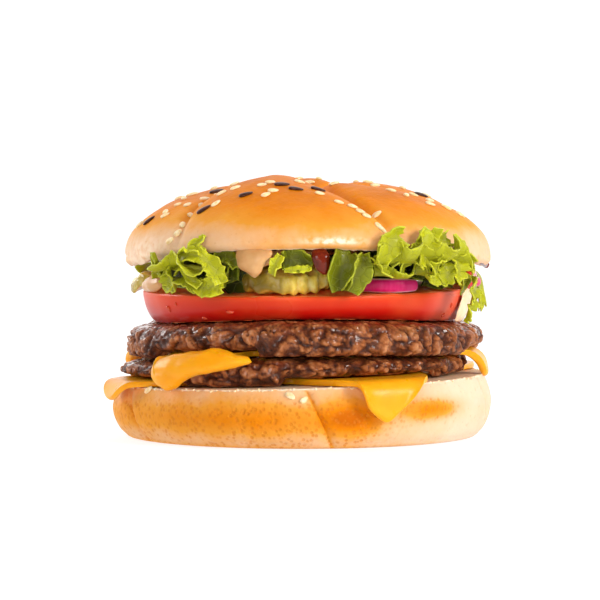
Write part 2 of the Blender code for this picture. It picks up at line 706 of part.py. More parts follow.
def add_inner_leaf(name, material, collection):
    """A crumpled leaf that fills the middle between the tomato and the crown."""
    middle_x, middle_y, half_x, half_y, waves, slant = INNER_LEAF
    columns, rows = 12, 7

    def place(column, row):
        u, v = 2.0 * column / columns - 1.0, 2.0 * row / rows - 1.0
        x = middle_x + half_x * u * math.sqrt(1.0 - v * v / 2.0)
        y = middle_y + half_y * v * math.sqrt(1.0 - u * u / 2.0)
        low = tomato_top(x, y) + GAP + LEAF_THICKNESS
        high = under_crown(x, y) - SAUCE_THICKNESS - 3 * GAP - LEAF_THICKNESS
        wave = math.sin(math.pi * waves * v + slant * math.sin(3.0 * u + 0.4))
        return Vector((x, y, mix(low, high, 0.5 + 0.46 * wave)))

    sheet = add_object(name, shaped_grid(columns, rows, place), material, collection)
    add_thickness(sheet, LEAF_THICKNESS)


# Sauces

def add_cream_layer(material, collection):
    """The sauce spread under the crown, with a tongue that runs out and down at the front."""
    azimuth_at, half_width, tongue_radius, tongue_z = SAUCE_TONGUE

    def place(azimuth, share):
        tongue = hump(apart(azimuth, azimuth_at), half_width)
        edge = mix(SAUCE_RADIUS * (1.0 + 0.05 * math.cos(math.radians(4 * azimuth))), tongue_radius, tongue)
        upper = share <= 0.5
        radius = edge * math.sin(math.pi * share) ** 0.7
        point = polar(azimuth, radius, 0.0, CROWN_X)
        top = under_crown(point.x, point.y) - 2 * GAP
        low = mix(top - SAUCE_THICKNESS, tongue_z, tongue * smooth(0.72, 0.9, radius / edge))
        rounded = 1.0 - smooth(0.9, 1.0, radius / edge)
        middle = mix(top, low, 0.45)
        point.z = mix(middle, top if upper else low, rounded)
        return point

    add_object("sauce_cream", shaped_sphere(30, 7, place), material, collection)


def add_blob(name, azimuth, low, high, width, depth, wall, material, collection):
    """A drop of sauce clinging to a wall of radius wall(azimuth, z), fuller low down."""
    shape = bmesh.new()
    bmesh.ops.create_uvsphere(shape, u_segments=10, v_segments=6, radius=1.0)
    for vertex in shape.verts:
        up = 0.5 + 0.5 * vertex.co.z
        full = mix(1.0, 0.62, up)
        z = mix(low, high, up)
        sideways = math.degrees(0.5 * width * vertex.co.x * full / TOMATO_RADIUS)
        inner = wall(azimuth + sideways, z) + 2 * GAP
        stand = depth * full * (0.5 - 0.5 * vertex.co.y)
        vertex.co = polar(azimuth + sideways, inner + stand, z, TOMATO_X)
    add_object(name, shape, material, collection)


def build():
    for old in list(bpy.data.objects):
        bpy.data.objects.remove(old)
    burger = bpy.data.collections.new("hamburger")
    bpy.context.scene.collection.children.link(burger)
    material = {name: make_material(name) for name in COLOURS}

    add_heel(material["crust"], burger)
    over_cheese = CHEESE_THICKNESS + 2 * GAP
    add_cheese("cheese_lower", LOWER_CHEESE, 0.0, lambda azimuth: heel_radius(azimuth) - 0.0006,
               above(HEEL_TOP, GAP), material["cheese"], burger)
    add_patty("patty_lower", LOWER_PATTY_X, LOWER_PATTY_RADIUS, above(HEEL_TOP, over_cheese),
              LOWER_PATTY_TOP, 3, LOWER_CHEESE, 0.0, material["beef"], burger)
    add_cheese("cheese_upper", UPPER_CHEESE, LOWER_PATTY_X, lambda azimuth: LOWER_PATTY_RADIUS - 0.0006,
               above(LOWER_PATTY_TOP, GAP), material["cheese"], burger)
    add_patty("patty_upper", UPPER_PATTY_X, UPPER_PATTY_RADIUS, above(LOWER_PATTY_TOP, over_cheese),
              UPPER_PATTY_TOP, 11, UPPER_CHEESE, LOWER_PATTY_X, material["beef"], burger)
    add_object("tomato_slice", shaped_sphere(40, 9, tomato_point), material["tomato"], burger)
    for name in PICKLES:
        add_pickle(name, material["pickle"], burger)
    for name in ONIONS:
        add_onion(name, material["onion"], burger)
    for name in LEAVES:
        add_leaf(name, material["lettuce"], burger)
    add_inner_leaf("lettuce_inner", material["lettuce"], burger)
    add_cream_layer(material["cream_sauce"], burger)
    add_blob("sauce_drip_right", 76, 0.0382, 0.0468, 0.0050, 0.0026, tomato_wall,
             material["cream_sauce"], burger)
    add_blob("sauce_blob_left", -71, 0.0484, 0.0518, 0.0090, 0.0065, lambda azimuth, z: 0.0425,
             material["cream_sauce"], burger)
    add_blob("ketchup_right", 69.5, 0.0448, 0.0512, 0.0046, 0.0030, tomato_wall, material["ketchup"], burger)
    add_blob("ketchup_front", 3.7, 0.0540, 0.0604, 0.0056, 0.0028, lambda azimuth, z: 0.0542,
             material["ketchup"], burger)
    add_crown(material["crust"], burger)


build()
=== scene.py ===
"""The looks of the double cheeseburger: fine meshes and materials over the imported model's solids.

Metres, +Z up, the burger's front faces -Y. Azimuths are degrees from the front towards +X.
The forms come from the same named sizes and functions as the solids, worked out on finer meshes.
"""

import json
import math
import random
from dataclasses import dataclass

import bpy
import numpy as np
from mathutils import Matrix, Vector, noise
from mathutils.bvhtree import BVHTree

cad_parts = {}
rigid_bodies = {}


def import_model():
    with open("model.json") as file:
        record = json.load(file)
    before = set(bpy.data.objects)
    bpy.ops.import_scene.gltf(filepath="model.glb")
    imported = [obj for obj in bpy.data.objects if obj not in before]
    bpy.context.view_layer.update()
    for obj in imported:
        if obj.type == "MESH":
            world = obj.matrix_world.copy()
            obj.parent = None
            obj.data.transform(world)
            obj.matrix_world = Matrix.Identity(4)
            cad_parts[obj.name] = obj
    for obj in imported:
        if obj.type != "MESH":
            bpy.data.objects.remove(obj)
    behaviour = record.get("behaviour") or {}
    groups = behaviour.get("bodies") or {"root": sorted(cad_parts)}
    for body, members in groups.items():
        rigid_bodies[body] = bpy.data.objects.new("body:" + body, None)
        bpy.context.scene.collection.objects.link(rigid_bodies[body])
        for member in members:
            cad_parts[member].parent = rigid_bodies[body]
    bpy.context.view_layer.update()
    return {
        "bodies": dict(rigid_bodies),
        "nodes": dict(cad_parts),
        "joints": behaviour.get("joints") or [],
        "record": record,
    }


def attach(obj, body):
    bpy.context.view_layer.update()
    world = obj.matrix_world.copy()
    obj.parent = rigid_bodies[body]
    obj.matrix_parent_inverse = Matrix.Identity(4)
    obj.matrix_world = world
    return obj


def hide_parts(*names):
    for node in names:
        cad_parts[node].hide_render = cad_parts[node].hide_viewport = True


GAP = 0.0003
# The layers, as (height at the middle, rise for each metre to the right, how far the layer sags SAG_REACH to
# either side).
HEEL_TOP = (0.0190, 0.028, 0.0003)
LOWER_PATTY_TOP = (0.0279, 0.018, 0.0022)
UPPER_PATTY_TOP = (0.0395, 0.010, 0.0032)
TOMATO_TOP = (0.0483, 0.009, 0.0)
SAG_REACH = 0.050
TOMATO_FALL = 0.0013

HEEL_RADIUS = 0.0600
LOWER_PATTY_RADIUS = 0.0532
UPPER_PATTY_RADIUS = 0.0556
TOMATO_RADIUS = 0.0512
CROWN_RADIUS = 0.0577
LOWER_PATTY_X = -0.0022
UPPER_PATTY_X = 0.0013
TOMATO_X = 0.0008
CROWN_X = 0.0020

HEEL_PROFILE = [(0, 1), (0.80, 1), (0.93, 1), (0.955, 1), (0.972, 0.93), (0.993, 0.74), (1, 0.54), (0.985, 0.3),
                (0.945, 0.1), (0.87, 0), (0.55, 0), (0, 0)]
PATTY_PROFILE = [(0, 1), (0.42, 1), (0.8, 1), (0.91, 0.94), (0.965, 0.8), (1, 0.5), (0.985, 0.22), (0.93, 0.05),
                 (0.82, 0), (0.42, 0), (0, 0)]
# A patty's rim hangs down by PATTY_DROOP, from PATTY_DROOP_FROM of its radius on, where no cheese corner comes
# out within PATTY_DROOP_CLEAR degrees.
PATTY_DROOP = 0.0023
PATTY_DROOP_FROM = 0.88
PATTY_DROOP_CLEAR = 3.5
TOMATO_PROFILE = [(0, 1), (0.86, 1), (0.97, 1), (1, 0.94), (0.992, 0.66), (0.975, 0.38), (0.95, 0.14),
                  (0.922, 0), (0.88, 0), (0, 0)]
PICKLE_PROFILE = [(0, 1), (0.45, 1), (0.9, 1), (1, 0.72), (1, 0.28), (0.9, 0), (0.45, 0), (0, 0)]

CROWN_SIDE_Z = 0.0532
CROWN_ARCH = 0.0084
CROWN_ARCH_POWER = 3.0
CROWN_BACK_DROP = 0.0045
CROWN_TOP_Z = 0.0774
CROWN_LIP = 0.0024
CROWN_TUCK = 0.965
DOME_POWER = 2.35
DOME_SHARE = 0.74
LIP_SHARE = 0.84
# The knot's lobes, as (azimuth of the seam before it, how far that seam turns towards the middle, swelling).
CROWN_LOBES = [(-46, -52, 0.0062), (27, -14, 0.0036), (99, -34, 0.0034), (171, -40, 0.0040),
               (243, -30, 0.0030)]
SEAM_DEPTH = 0.0022
SEAM_WIDTH = 0.0032
LOBE_LEAN = 0.86

HEEL_SEAMS = [-64, 5.5, 80, 152, 224]
HEEL_SEAM_LEAN = 9.0
HEEL_SEAM_WIDTH = 3.2
HEEL_SEAM_DEPTH = 0.0011
HEEL_CREASE = (0.55, 0.0008)  # half width in degrees and depth of the fine line along each seam
# Browned patches on the heel's side, as (how brown, azimuth, half width in degrees), and one that sits high.
HEEL_PATCHES = [(0.42, -14, 30), (0.60, 15, 8), (0.20, -66, 26), (0.50, 150, 50)]
HEEL_HIGH_PATCH = (0.75, 44, 12)
HEEL_PATCH_BAND = (0.50, 0.27)  # the height share of the patches' middle, and their half height

CHEESE_THICKNESS = 0.0018
CHEESE_INSIDE = 0.0415
CHEESE_SWELL = 0.0024
CHEESE_STIFF = 0.0095


@dataclass
class Corner:
    """How one melted corner of a cheese slice hangs.

    reach is from the slice's middle to the tip, width the degrees from the tip to where the corner ends, and
    blunt how rounded the tip is. drift is how far it slides sideways, and swell how much it thickens.
    """
    azimuth: float
    reach: float
    width: float
    blunt: float
    drift: float
    bend_radius: float
    bend: float
    swell: float


LOWER_CHEESE = [Corner(27.0, 0.0728, 30.5, 0.05, -2.8, 0.0030, 88, 0.1),
                Corner(117, 0.0600, 34, 0.3, 0.0, 0.0034, 70, 0.0),
                Corner(205, 0.0640, 36, 0.2, 0.0, 0.0034, 80, 0.1),
                Corner(289, 0.0652, 30, 0.5, 0.0, 0.0018, 98, 0.2)]
UPPER_CHEESE = [Corner(-39, 0.0622, 19, 0.6, -2.0, 0.0040, 88, 1.0),
                Corner(-29.5, 0.0584, 11, 0.8, -2.0, 0.0040, 88, 1.0),
                Corner(80, 0.0632, 17, 0.3, 5.0, 0.0062, 86, 0.3),
                Corner(150, 0.0580, 30, 0.3, 0.0, 0.0040, 70, 0.1),
                Corner(236, 0.0630, 30, 0.3, 0.0, 0.0040, 86, 0.3)]
CHEESE_HINGE = 0.87
CHEESE_RIM = 0.95
CHEESE_PROFILE = [(0, 1), (0.6, 1), (0.8, 1), (0.87, 1), (0.935, 1), (0.985, 1), (1, 0.5), (0.985, 0),
                  (0.935, 0), (0.87, 0), (0.8, 0), (0.6, 0), (0, 0)]

PICKLE_WAVE = 0.0070
PICKLE_WAVE_DEPTH = 0.0006
PICKLE_DROOP = 85.0
PICKLE_RIDGE = 0.0034
# Pickles, as (middle x, middle y, radius, thickness, azimuth that its waves run towards).
PICKLES = {"pickle_front": (-0.0050, -0.0350, 0.0140, 0.0060, 25),
           "pickle_left": (-0.0425, 0.0045, 0.0115, 0.0042, 70),
           "pickle_back": (0.0100, 0.0370, 0.0135, 0.0042, 140)}

ONION_THICKNESS = 0.0026
# Onion slats, as (middle x, middle y, radius, first and last azimuth, height).
ONIONS = {"onion_front": (0.0235, -0.0190, 0.0225, -21, 34, 0.0044),
          "onion_right": (0.0395, -0.0050, 0.0165, 52, 120, 0.0029)}


@dataclass
class Leaf:
    """A ruffled leaf between two azimuths: flat from root to lip, then waving more and more to its margin."""
    first: float
    last: float
    folds: float
    phase: float
    turn: float
    root: tuple
    lip: tuple
    reach: tuple
    height: tuple
    # tone: share of the dark green, partly the leaf's own colour and partly painted shade
    tone: float


LEAVES = {
    "lettuce_left_high": Leaf(-53, -31, 1.7, 0.62, 1.20, (0.0380, 0.0560), None,
                              (0.003, 0.005, 0.005, 0.004), (0.0580, 0.0602, 0.0592, 0.0565), 0.35),
    "lettuce_left_low": Leaf(-58, -31, 1.9, 0.30, 1.15, (0.0450, 0.0514), (0.0545, 0.0518),
                             (0.003, 0.004, 0.005, 0.005), (0.0514, 0.0500, 0.0478, 0.0502), 0.55),
    "lettuce_right_high": Leaf(20, 57, 3.1, 0.10, 1.35, (0.0380, 0.0572), None,
                               (0.004, 0.006, 0.007, 0.003), (0.0605, 0.0630, 0.0635, 0.0558), 0.40),
    "lettuce_right_low": Leaf(22, 64, 3.0, 0.35, 1.15, (0.0440, 0.0534), (0.0535, 0.0533),
                              (0.002, 0.003, 0.005, 0.004), (0.0564, 0.0562, 0.0538, 0.0505), 0.50),
    "lettuce_centre": Leaf(3.5, 19.5, 1.4, 0.30, 1.05, (0.0400, 0.0588), (0.0480, 0.0590),
                           (0.001, 0.002, 0.003, 0.003), (0.0545, 0.0540, 0.0535, 0.0526), 0.95),
    "lettuce_side": Leaf(94, 122, 2.2, 0.20, 1.00, (0.0420, 0.0518), (0.0532, 0.0514),
                         (0.001, 0.002, 0.002, 0.001), (0.0405, 0.0425, 0.0460, 0.0485), 0.40),
    "lettuce_back_right": Leaf(128, 172, 2.8, 0.55, 1.30, (0.0380, 0.0552), None,
                               (0.003, 0.005, 0.006, 0.004), (0.0520, 0.0540, 0.0560, 0.0560), 0.45),
    "lettuce_back_left": Leaf(-172, -114, 3.4, 0.05, 1.30, (0.0380, 0.0552), None,
                              (0.004, 0.006, 0.005, 0.003), (0.0570, 0.0560, 0.0540, 0.0520), 0.45),
}
INNER_LEAF = (0.0085, 0.0010, 0.0345, 0.0190, 1.6, 1.9)  # middle x and y, half sizes, waves, slant of the waves
LEAF_THICKNESS = 0.0006
LEAF_LIP_SHARE = 0.25
LEAF_LIP_TURN = 0.10
LEAF_LIP_ROOM = 0.0013
LEAF_CURL = 1.5
SECOND_WAVE = 0.22
SECOND_WAVE_COUNT = 2.3
FRILLS = ((0.28, 4.3, 2.1, 1.0), (0.16, 8.7, 0.4, 2.0))  # (swing, count for each fold, phase, power of outer)
TOOTH_COUNT = 6.0
TOOTH_LENGTH = 0.11

SAUCE_THICKNESS = 0.0016
SAUCE_RADIUS = 0.0400
SAUCE_TONGUE = (-17.0, 7.0, 0.0548, 0.0560)  # azimuth, half width in degrees, radius and height of its end

# Camera, and the size of one of the photograph's pixels at the burger's middle.
CAMERA_DISTANCE = 2.20
CAMERA_ELEVATION = 3.2
CAMERA_TARGET = Vector((-0.0006, 0.0, 0.0431))
PIXEL = 0.000316
PICTURE = 600

# Seeds that show in the photograph: (pixel across, pixel down, turn in the picture in degrees).
DARK_SEEDS = [(204, 210, 32), (217, 192, 58), (246, 195, 15), (282, 185, 18), (296, 189.5, -14),
              (318, 190, -18), (149.5, 221, 22)]
WHITE_SEEDS = [(193.5, 190, 5), (234.6, 183, 8), (235.6, 188.3, 20), (221.8, 193.5, 40), (205, 199.2, 50),
               (216.3, 203.8, 80), (262, 185.3, 12), (270.3, 182.6, -20), (273.2, 190.9, -8),
               (266, 195, 60), (299.7, 182.4, -25), (165.4, 215.7, 28), (140.5, 224.5, -10),
               (190.2, 215.3, 55), (182.6, 225, 70), (178.2, 233, 60), (170, 240.8, 20), (310, 182.6, -30),
               (319.8, 193.8, 0), (334.2, 182.5, 4), (368, 182.6, 0), (413.3, 195.3, -55),
               (426, 194.5, -12), (339, 202.6, -35), (352.5, 206.8, -30), (360.4, 211.8, -40),
               (366.6, 216.2, -48), (377, 214.7, 20), (378.7, 226.4, -50), (382.8, 230.4, -35)]
HEEL_SEEDS = [(290.5, 396, -35), (304, 400, 40), (149, 390, 0)]
JUICE_DROPS = [(176, 304, 80), (169, 309, -60), (451, 305, 65), (443, 315, 50), (230, 312, 10),
               (205, 318, 5)]
# Seeds, crumbs and drops, as (length, width, height, how pointed).
WHITE_SEED = (0.0033, 0.0021, 0.0012, 0.55)
DARK_SEED = (0.0048, 0.0025, 0.0012, 0.75)
CRUMB = (0.0007, 0.0006, 0.0005, 0.3)
JUICE_DROP = (0.0019, 0.0010, 0.0009, 0.5)
# Seeds out of the photograph's sight, as (how many, share of them in the seams), and the room that each keeps.
DARK_SCATTER = (9, 0.3)
WHITE_SCATTER = (62, 0.5)
SEED_ROOM = 0.0042
CRUMB_COUNT = 240


@dataclass
class Frond:
    """A frilled strip of lettuce that shows in the photograph, from its foot to its tip.

    spine holds (pixel across, pixel down, distance from the crown's axis) of points along its middle, and widths
    its half width at even steps. lean turns it edge on, cup sets its middle back, and tone is how dark green it
    is, partly the leaf's own darker green and partly painted shade for fronds that sit in shadow behind the
    others.
    """
    spine: tuple
    widths: tuple
    lean: float
    cup: float
    tone: float
    frills: float = 2.0


FRONDS = (
    Frond(((176, 272, 0.058), (179, 262, 0.0595), (188, 255, 0.061), (199, 255, 0.061), (209, 263, 0.060),
           (216, 273, 0.060), (221, 283, 0.0595)),
          (0.0014, 0.0020, 0.0021, 0.0024, 0.0022), 10, 0.0010, 0.25, 3.0),
    Frond(((222, 281, 0.059), (213, 286, 0.0595), (203, 288, 0.059), (195, 284, 0.057)),
          (0.0020, 0.0026, 0.0024, 0.0012), -25, 0.0008, 0.20, 2.0),
    Frond(((162, 273, 0.057), (157, 263, 0.059), (153, 252, 0.060)),
          (0.0014, 0.0024, 0.0006), 35, 0.0012, 0.55, 1.0),
    Frond(((163, 272, 0.057), (167, 263, 0.058), (173, 256, 0.0585)),
          (0.0012, 0.0018, 0.0010), -40, 0.0008, 0.35, 1.0),
    Frond(((166, 263, 0.059), (169, 273, 0.060), (169, 286, 0.059)),
          (0.0010, 0.0030, 0.0022), 5, 0.0010, 0.45, 2.2),
    Frond(((190, 250, 0.060), (194, 244, 0.0605), (201, 241, 0.060), (204, 235, 0.0595)),
          (0.0010, 0.0013, 0.0012, 0.0006), 20, 0.0006, 0.15, 1.5),
    Frond(((181, 268, 0.060), (189, 277, 0.0605), (200, 286, 0.060)),
          (0.0009, 0.0014, 0.0013), -10, 0.0005, 0.35, 0.6),
    Frond(((178, 254, 0.060), (186, 249, 0.0605), (196, 249, 0.0605), (204, 254, 0.060)),
          (0.0012, 0.0018, 0.0018, 0.0010), 50, 0.0006, 0.10, 2.4),
    Frond(((168, 268, 0.0500), (190, 271, 0.0490), (212, 270, 0.0480), (238, 268, 0.0470)),
          (0.0030, 0.0050, 0.0050, 0.0036), 10, 0.0016, 1.0, 1.2),
    Frond(((370, 262, 0.0440), (395, 260, 0.0450), (425, 262, 0.0460), (456, 266, 0.0480)),
          (0.0036, 0.0048, 0.0048, 0.0036), 10, 0.0016, 1.0, 1.2),
    Frond(((226, 292, 0.0440), (238, 278, 0.0440), (240, 262, 0.0440)),
          (0.0050, 0.0060, 0.0050), 0, 0.0010, 1.0, 0.8),
    Frond(((424, 281, 0.0440), (438, 281, 0.0455), (452, 280, 0.0470)),
          (0.0014, 0.0018, 0.0018), 0, 0.0006, 1.0, 1.0),
    Frond(((215, 262, 0.055), (222, 256, 0.055), (231, 258, 0.055), (235, 268, 0.054)),
          (0.0014, 0.0018, 0.0018, 0.0010), 15, 0.0006, 0.85, 1.2),
    Frond(((224, 285, 0.052), (227, 272, 0.053), (221, 262, 0.054)),
          (0.0018, 0.0020, 0.0014), 20, 0.0010, 0.90, 1.0),
    Frond(((272, 275, 0.0555), (276, 264, 0.0560), (281, 255, 0.0555)),
          (0.0014, 0.0016, 0.0012), 10, 0.0005, 0.15, 1.0),
    Frond(((282, 262, 0.054), (297, 260, 0.0545), (313, 265, 0.054)),
          (0.0022, 0.0034, 0.0020), 5, 0.0012, 0.85, 1.6),
    Frond(((284, 271, 0.0555), (296, 270, 0.0560), (311, 268, 0.0555)),
          (0.0007, 0.0011, 0.0008), 40, 0.0003, 0.15, 1.6),
    Frond(((340, 291, 0.0550), (340, 275, 0.0560), (346, 259, 0.0560), (350, 250, 0.0550)),
          (0.0020, 0.0034, 0.0036, 0.0022), 25, 0.0022, 0.80, 0.8),
    Frond(((347, 291, 0.0555), (356, 277, 0.0565), (364, 262, 0.0565), (364, 253, 0.0555)),
          (0.0024, 0.0040, 0.0030, 0.0012), -25, 0.0020, 0.75, 0.8),
    Frond(((373, 257, 0.056), (380, 266, 0.057), (391, 275, 0.0565)),
          (0.0012, 0.0019, 0.0012), 25, 0.0008, 0.40, 1.4),
    Frond(((382, 264, 0.058), (387, 252, 0.0595), (394, 241, 0.0605), (401, 233, 0.0600)),
          (0.0016, 0.0032, 0.0036, 0.0022), -20, 0.0016, 0.30, 1.2),
    Frond(((390, 265, 0.0565), (397, 258, 0.0575), (408, 256, 0.0570)),
          (0.0012, 0.0020, 0.0016), 20, 0.0012, 0.60, 1.0),
    Frond(((401, 275, 0.0570), (404, 265, 0.0580), (410, 257, 0.0575)),
          (0.0012, 0.0018, 0.0016), -30, 0.0008, 0.45, 0.8),
    Frond(((409, 252, 0.0590), (418, 252, 0.0600), (426, 259, 0.0600), (424, 268, 0.0590)),
          (0.0014, 0.0026, 0.0028, 0.0014), 15, 0.0012, 0.25, 1.8),
    Frond(((432, 266, 0.0590), (426, 253, 0.0605), (428, 241, 0.0615), (433, 229, 0.0610)),
          (0.0020, 0.0032, 0.0032, 0.0022), 15, 0.0014, 0.25, 2.4),
    Frond(((441, 268, 0.0590), (443, 255, 0.0605), (444, 244, 0.0610), (447, 235, 0.0600)),
          (0.0020, 0.0030, 0.0026, 0.0016), -25, 0.0014, 0.35, 2.0),
    Frond(((443, 260, 0.0590), (437, 270, 0.0605), (431, 281, 0.0600)),
          (0.0026, 0.0036, 0.0024), 10, 0.0014, 0.35, 2.4),
    Frond(((444, 264, 0.0590), (448, 274, 0.0600), (448, 283, 0.0590)),
          (0.0022, 0.0022, 0.0010), -20, 0.0010, 0.45, 1.4),
    Frond(((455, 255, 0.0595), (459, 267, 0.0610), (461, 280, 0.0605)),
          (0.0016, 0.0028, 0.0018), 15, 0.0012, 0.25, 2.2),
    Frond(((456, 258, 0.0600), (465, 259, 0.0605), (475, 264, 0.0600)),
          (0.0014, 0.0022, 0.0010), -15, 0.0010, 0.20, 1.6),
    Frond(((474, 278, 0.0580), (475, 290, 0.0610), (473, 303, 0.0612), (469, 313, 0.0600), (467, 322, 0.0585)),
          (0.0012, 0.0022, 0.0026, 0.0018, 0.0006), 20, 0.0010, 0.35, 3.2),
)
FROND_THICKNESS = 0.0005
FROND_WIDER = 1.15  # all the half widths are taken this many times wider

# Smears of sauce and scraps that show in the photograph, as rows of (pixel down, left and right pixel, distance
# from the crown's axis).
CREAM_TONGUE = ((245, 236, 276, 0.0545), (250, 233, 276, 0.0554), (256, 235, 272, 0.0560),
                (262, 237, 266, 0.0562), (268, 239, 264, 0.0560), (273, 244, 263, 0.0556),
                (278, 250, 259, 0.0548))
CREAM_RIGHT = ((284, 464, 471, 0.0517), (294, 462, 470, 0.0514), (304, 460, 469, 0.0510),
               (314, 456, 466, 0.0504), (322, 453, 461, 0.0498))
CREAM_LEFT = ((275, 150, 161, 0.0518), (281, 145, 162, 0.0524), (287, 143, 162, 0.0526),
              (292, 143, 160, 0.0522))
CHEESE_BLOB = ((348, 209, 226, 0.0588), (351, 193, 235, 0.0598), (354, 170, 243, 0.0605),
               (358, 161, 252, 0.0610), (362, 156, 252, 0.0612), (367, 153, 238, 0.0614),
               (371, 152, 221, 0.0614), (376, 152, 196, 0.0614), (382, 154, 186, 0.0613),
               (387, 158, 181, 0.0608), (391, 166, 175, 0.0596))
KETCHUP_FRONT = ((246, 310, 326, 0.0545), (252, 311, 329, 0.0556), (258, 312, 330, 0.0561),
                 (265, 314, 330, 0.0561), (270, 316, 331, 0.0558), (275, 321, 328, 0.0552))
KETCHUP_RIGHT = ((268, 466, 474, 0.0518), (276, 464, 475, 0.0528), (284, 465, 474, 0.0528),
                 (290, 468, 472, 0.0520))
KETCHUP_LINE = ((255, 458, 472, 0.0556), (260, 466, 483, 0.0560), (264, 478, 489, 0.0560),
                (268, 484, 488, 0.0556))

# Lamps, as (name, place, width, power, colour). All point at LIT_PLACE.
LAMPS = (
    ("key", (0.72, -0.60, 0.38), 0.42, 8.2, (1.0, 0.97, 0.93)),
    ("fill", (-0.20, -0.95, 0.24), 0.45, 3.2, (1.0, 0.98, 0.96)),
    ("top", (0.10, 0.05, 0.95), 0.5, 2.4, (1.0, 0.98, 0.96)),
    ("left_rim", (-0.75, 0.35, 0.35), 0.35, 3.2, (1.0, 0.98, 0.96)),
)
LIT_PLACE = (0.0, 0.0, 0.045)
WORLD_LIGHT = 0.20
# The floor reaches FLOOR_REACH to either side and to the front, and back to the backdrop.
FLOOR_REACH = 7.5
BACKDROP_Y = 3
BACKDROP_HEIGHT = 5.6
SENSOR_WIDTH = 36.0

NOISE_SEED = 11
FINE = 1.0  # share of the full number of rows and columns

noise.seed_set(NOISE_SEED)  # noise_vector is otherwise drawn anew in every run


def smooth(low, high, value):
    """0 at low and before it, 1 at high and past it, and a soft step between them."""
    share = min(1.0, max(0.0, (value - low) / (high - low)))
    return share * share * (3.0 - 2.0 * share)


def mix(first, second, share):
    return first + (second - first) * share


def along(values, share):
    """The value at a share of the way along evenly spaced values, with soft steps between them."""
    place = min(1.0, max(0.0, share)) * (len(values) - 1)
    index = min(int(place), len(values) - 2)
    return mix(values[index], values[index + 1], smooth(0.0, 1.0, place - index))


def on_profile(profile, share):
    """The point at a share of the way along a profile, on a smooth curve that keeps between its points."""
    place = min(1.0, max(0.0, share)) * (len(profile) - 1)
    index = min(int(place), len(profile) - 2)
    t = place - index
    picked = [profile[min(max(index + k, 0), len(profile) - 1)] for k in (-1, 0, 1, 2)]
    curve = [
        b + 0.5 * t * (c - a + t * (2 * a - 5 * b + 4 * c - d + t * (3 * (b - c) + d - a)))
        for a, b, c, d in zip(*picked)
    ]
    return tuple(min(max(value, min(b, c)), max(b, c)) for value, b, c in zip(curve, picked[1], picked[2]))


def apart(first, second):
    """The signed difference of two azimuths in degrees."""
    return (first - second + 180.0) % 360.0 - 180.0


def hump(offset, width):
    return math.exp(-((offset / width) ** 2))


def polar(azimuth, radius, z, middle_x=0.0):
    turn = math.radians(azimuth)
    return Vector((middle_x + radius * math.sin(turn), -radius * math.cos(turn), z))


def level(layer, x):
    height, rise, sag = layer
    return height + rise * x - sag * (x / SAG_REACH) ** 2


def above(layer, lift):
    return layer[0] + lift, layer[1], layer[2]


def lumps(point, size, seed):
    """Smooth noise from about -1 to 1, with lumps of that size."""
    return noise.noise(point / size + Vector((seed, 0.0, 0.0)))


def pebbles(point, size, seed):
    """(height, crease) of rounded lumps packed together: height falls from 1 in a lump's middle, crease is 0
    where two lumps meet."""
    near = noise.voronoi(point / size + Vector((seed, seed * 0.7, 0.0)))[0]
    return max(0.0, 1.0 - near[0] ** 2 * 1.6), smooth(0.0, 0.22, near[1] - near[0])


# Meshes

def add_object(name, data):
    made = bpy.data.objects.new(name, data)
    bpy.context.scene.collection.objects.link(made)
    return made


def add_masks(mesh, masks):
    for mask, values in masks.items():
        mesh.attributes.new(mask, "FLOAT", "POINT").data.foreach_set("value", values)


def new_piece(name, points, faces, masks, material):
    """Makes a smooth object, with each mask as a number on its points."""
    mesh = bpy.data.meshes.new(name)
    mesh.from_pydata([tuple(point) for point in points], [], faces)
    mesh.shade_smooth()
    add_masks(mesh, masks)
    mesh.materials.append(material)
    piece = add_object(name, mesh)
    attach(piece, "root")
    return piece


def thicken(piece, thickness):
    solidify = piece.modifiers.new("Thickness", "SOLIDIFY")
    solidify.thickness = thickness
    solidify.offset = 0.0


def stepped(stops, counts):
    """Shares from the first stop to the last, with that many even steps between each two stops."""
    shares = []
    for low, high, count in zip(stops, stops[1:], counts):
        steps = max(2, round(count * FINE))
        shares += [mix(low, high, step / steps) for step in range(steps)]
    return shares + [stops[-1]]


def round_piece(name, columns, shares, place, material):
    """A closed round piece: place(azimuth, share) gives a point and its masks, from top middle to bottom."""
    columns = round(columns * FINE)
    points, masks = [], {}

    def add(azimuth, share):
        point, values = place(azimuth, share)
        points.append(point)
        for mask, value in values.items():
            masks.setdefault(mask, []).append(value)

    add(0.0, 0.0)
    for share in shares[1:-1]:
        for column in range(columns):
            add(360.0 * column / columns, share)
    add(0.0, 1.0)
    last = len(points) - 1
    faces = []
    for column in range(columns):
        following = (column + 1) % columns
        faces.append((0, 1 + column, 1 + following))
        for ring in range(len(shares) - 3):
            first, second = 1 + ring * columns, 1 + (ring + 1) * columns
            faces.append((first + column, second + column, second + following, first + following))
        foot = 1 + (len(shares) - 3) * columns
        faces.append((foot + column, last, foot + following))
    return new_piece(name, points, faces, masks, material)


def grid_faces(columns, rows, start=0):
    step = columns + 1
    return [
        (start + row * step + column, start + row * step + column + 1, start + (row + 1) * step + column + 1,
         start + (row + 1) * step + column)
        for row in range(rows) for column in range(columns)
    ]


def sheet_piece(name, columns, rows, place, thickness, tone, material):
    """A leaf-like sheet: place(across, out) gives a point for shares from 0 to 1, out being 1 at its margin."""
    points, margins = [], []
    for row in range(rows + 1):
        for column in range(columns + 1):
            points.append(place(column / columns, row / rows))
            margins.append(row / rows)
    masks = {"margin": margins, "tone": [tone] * len(points)}
    piece = new_piece(name, points, grid_faces(columns, rows), masks, material)
    thicken(piece, thickness)
    return piece


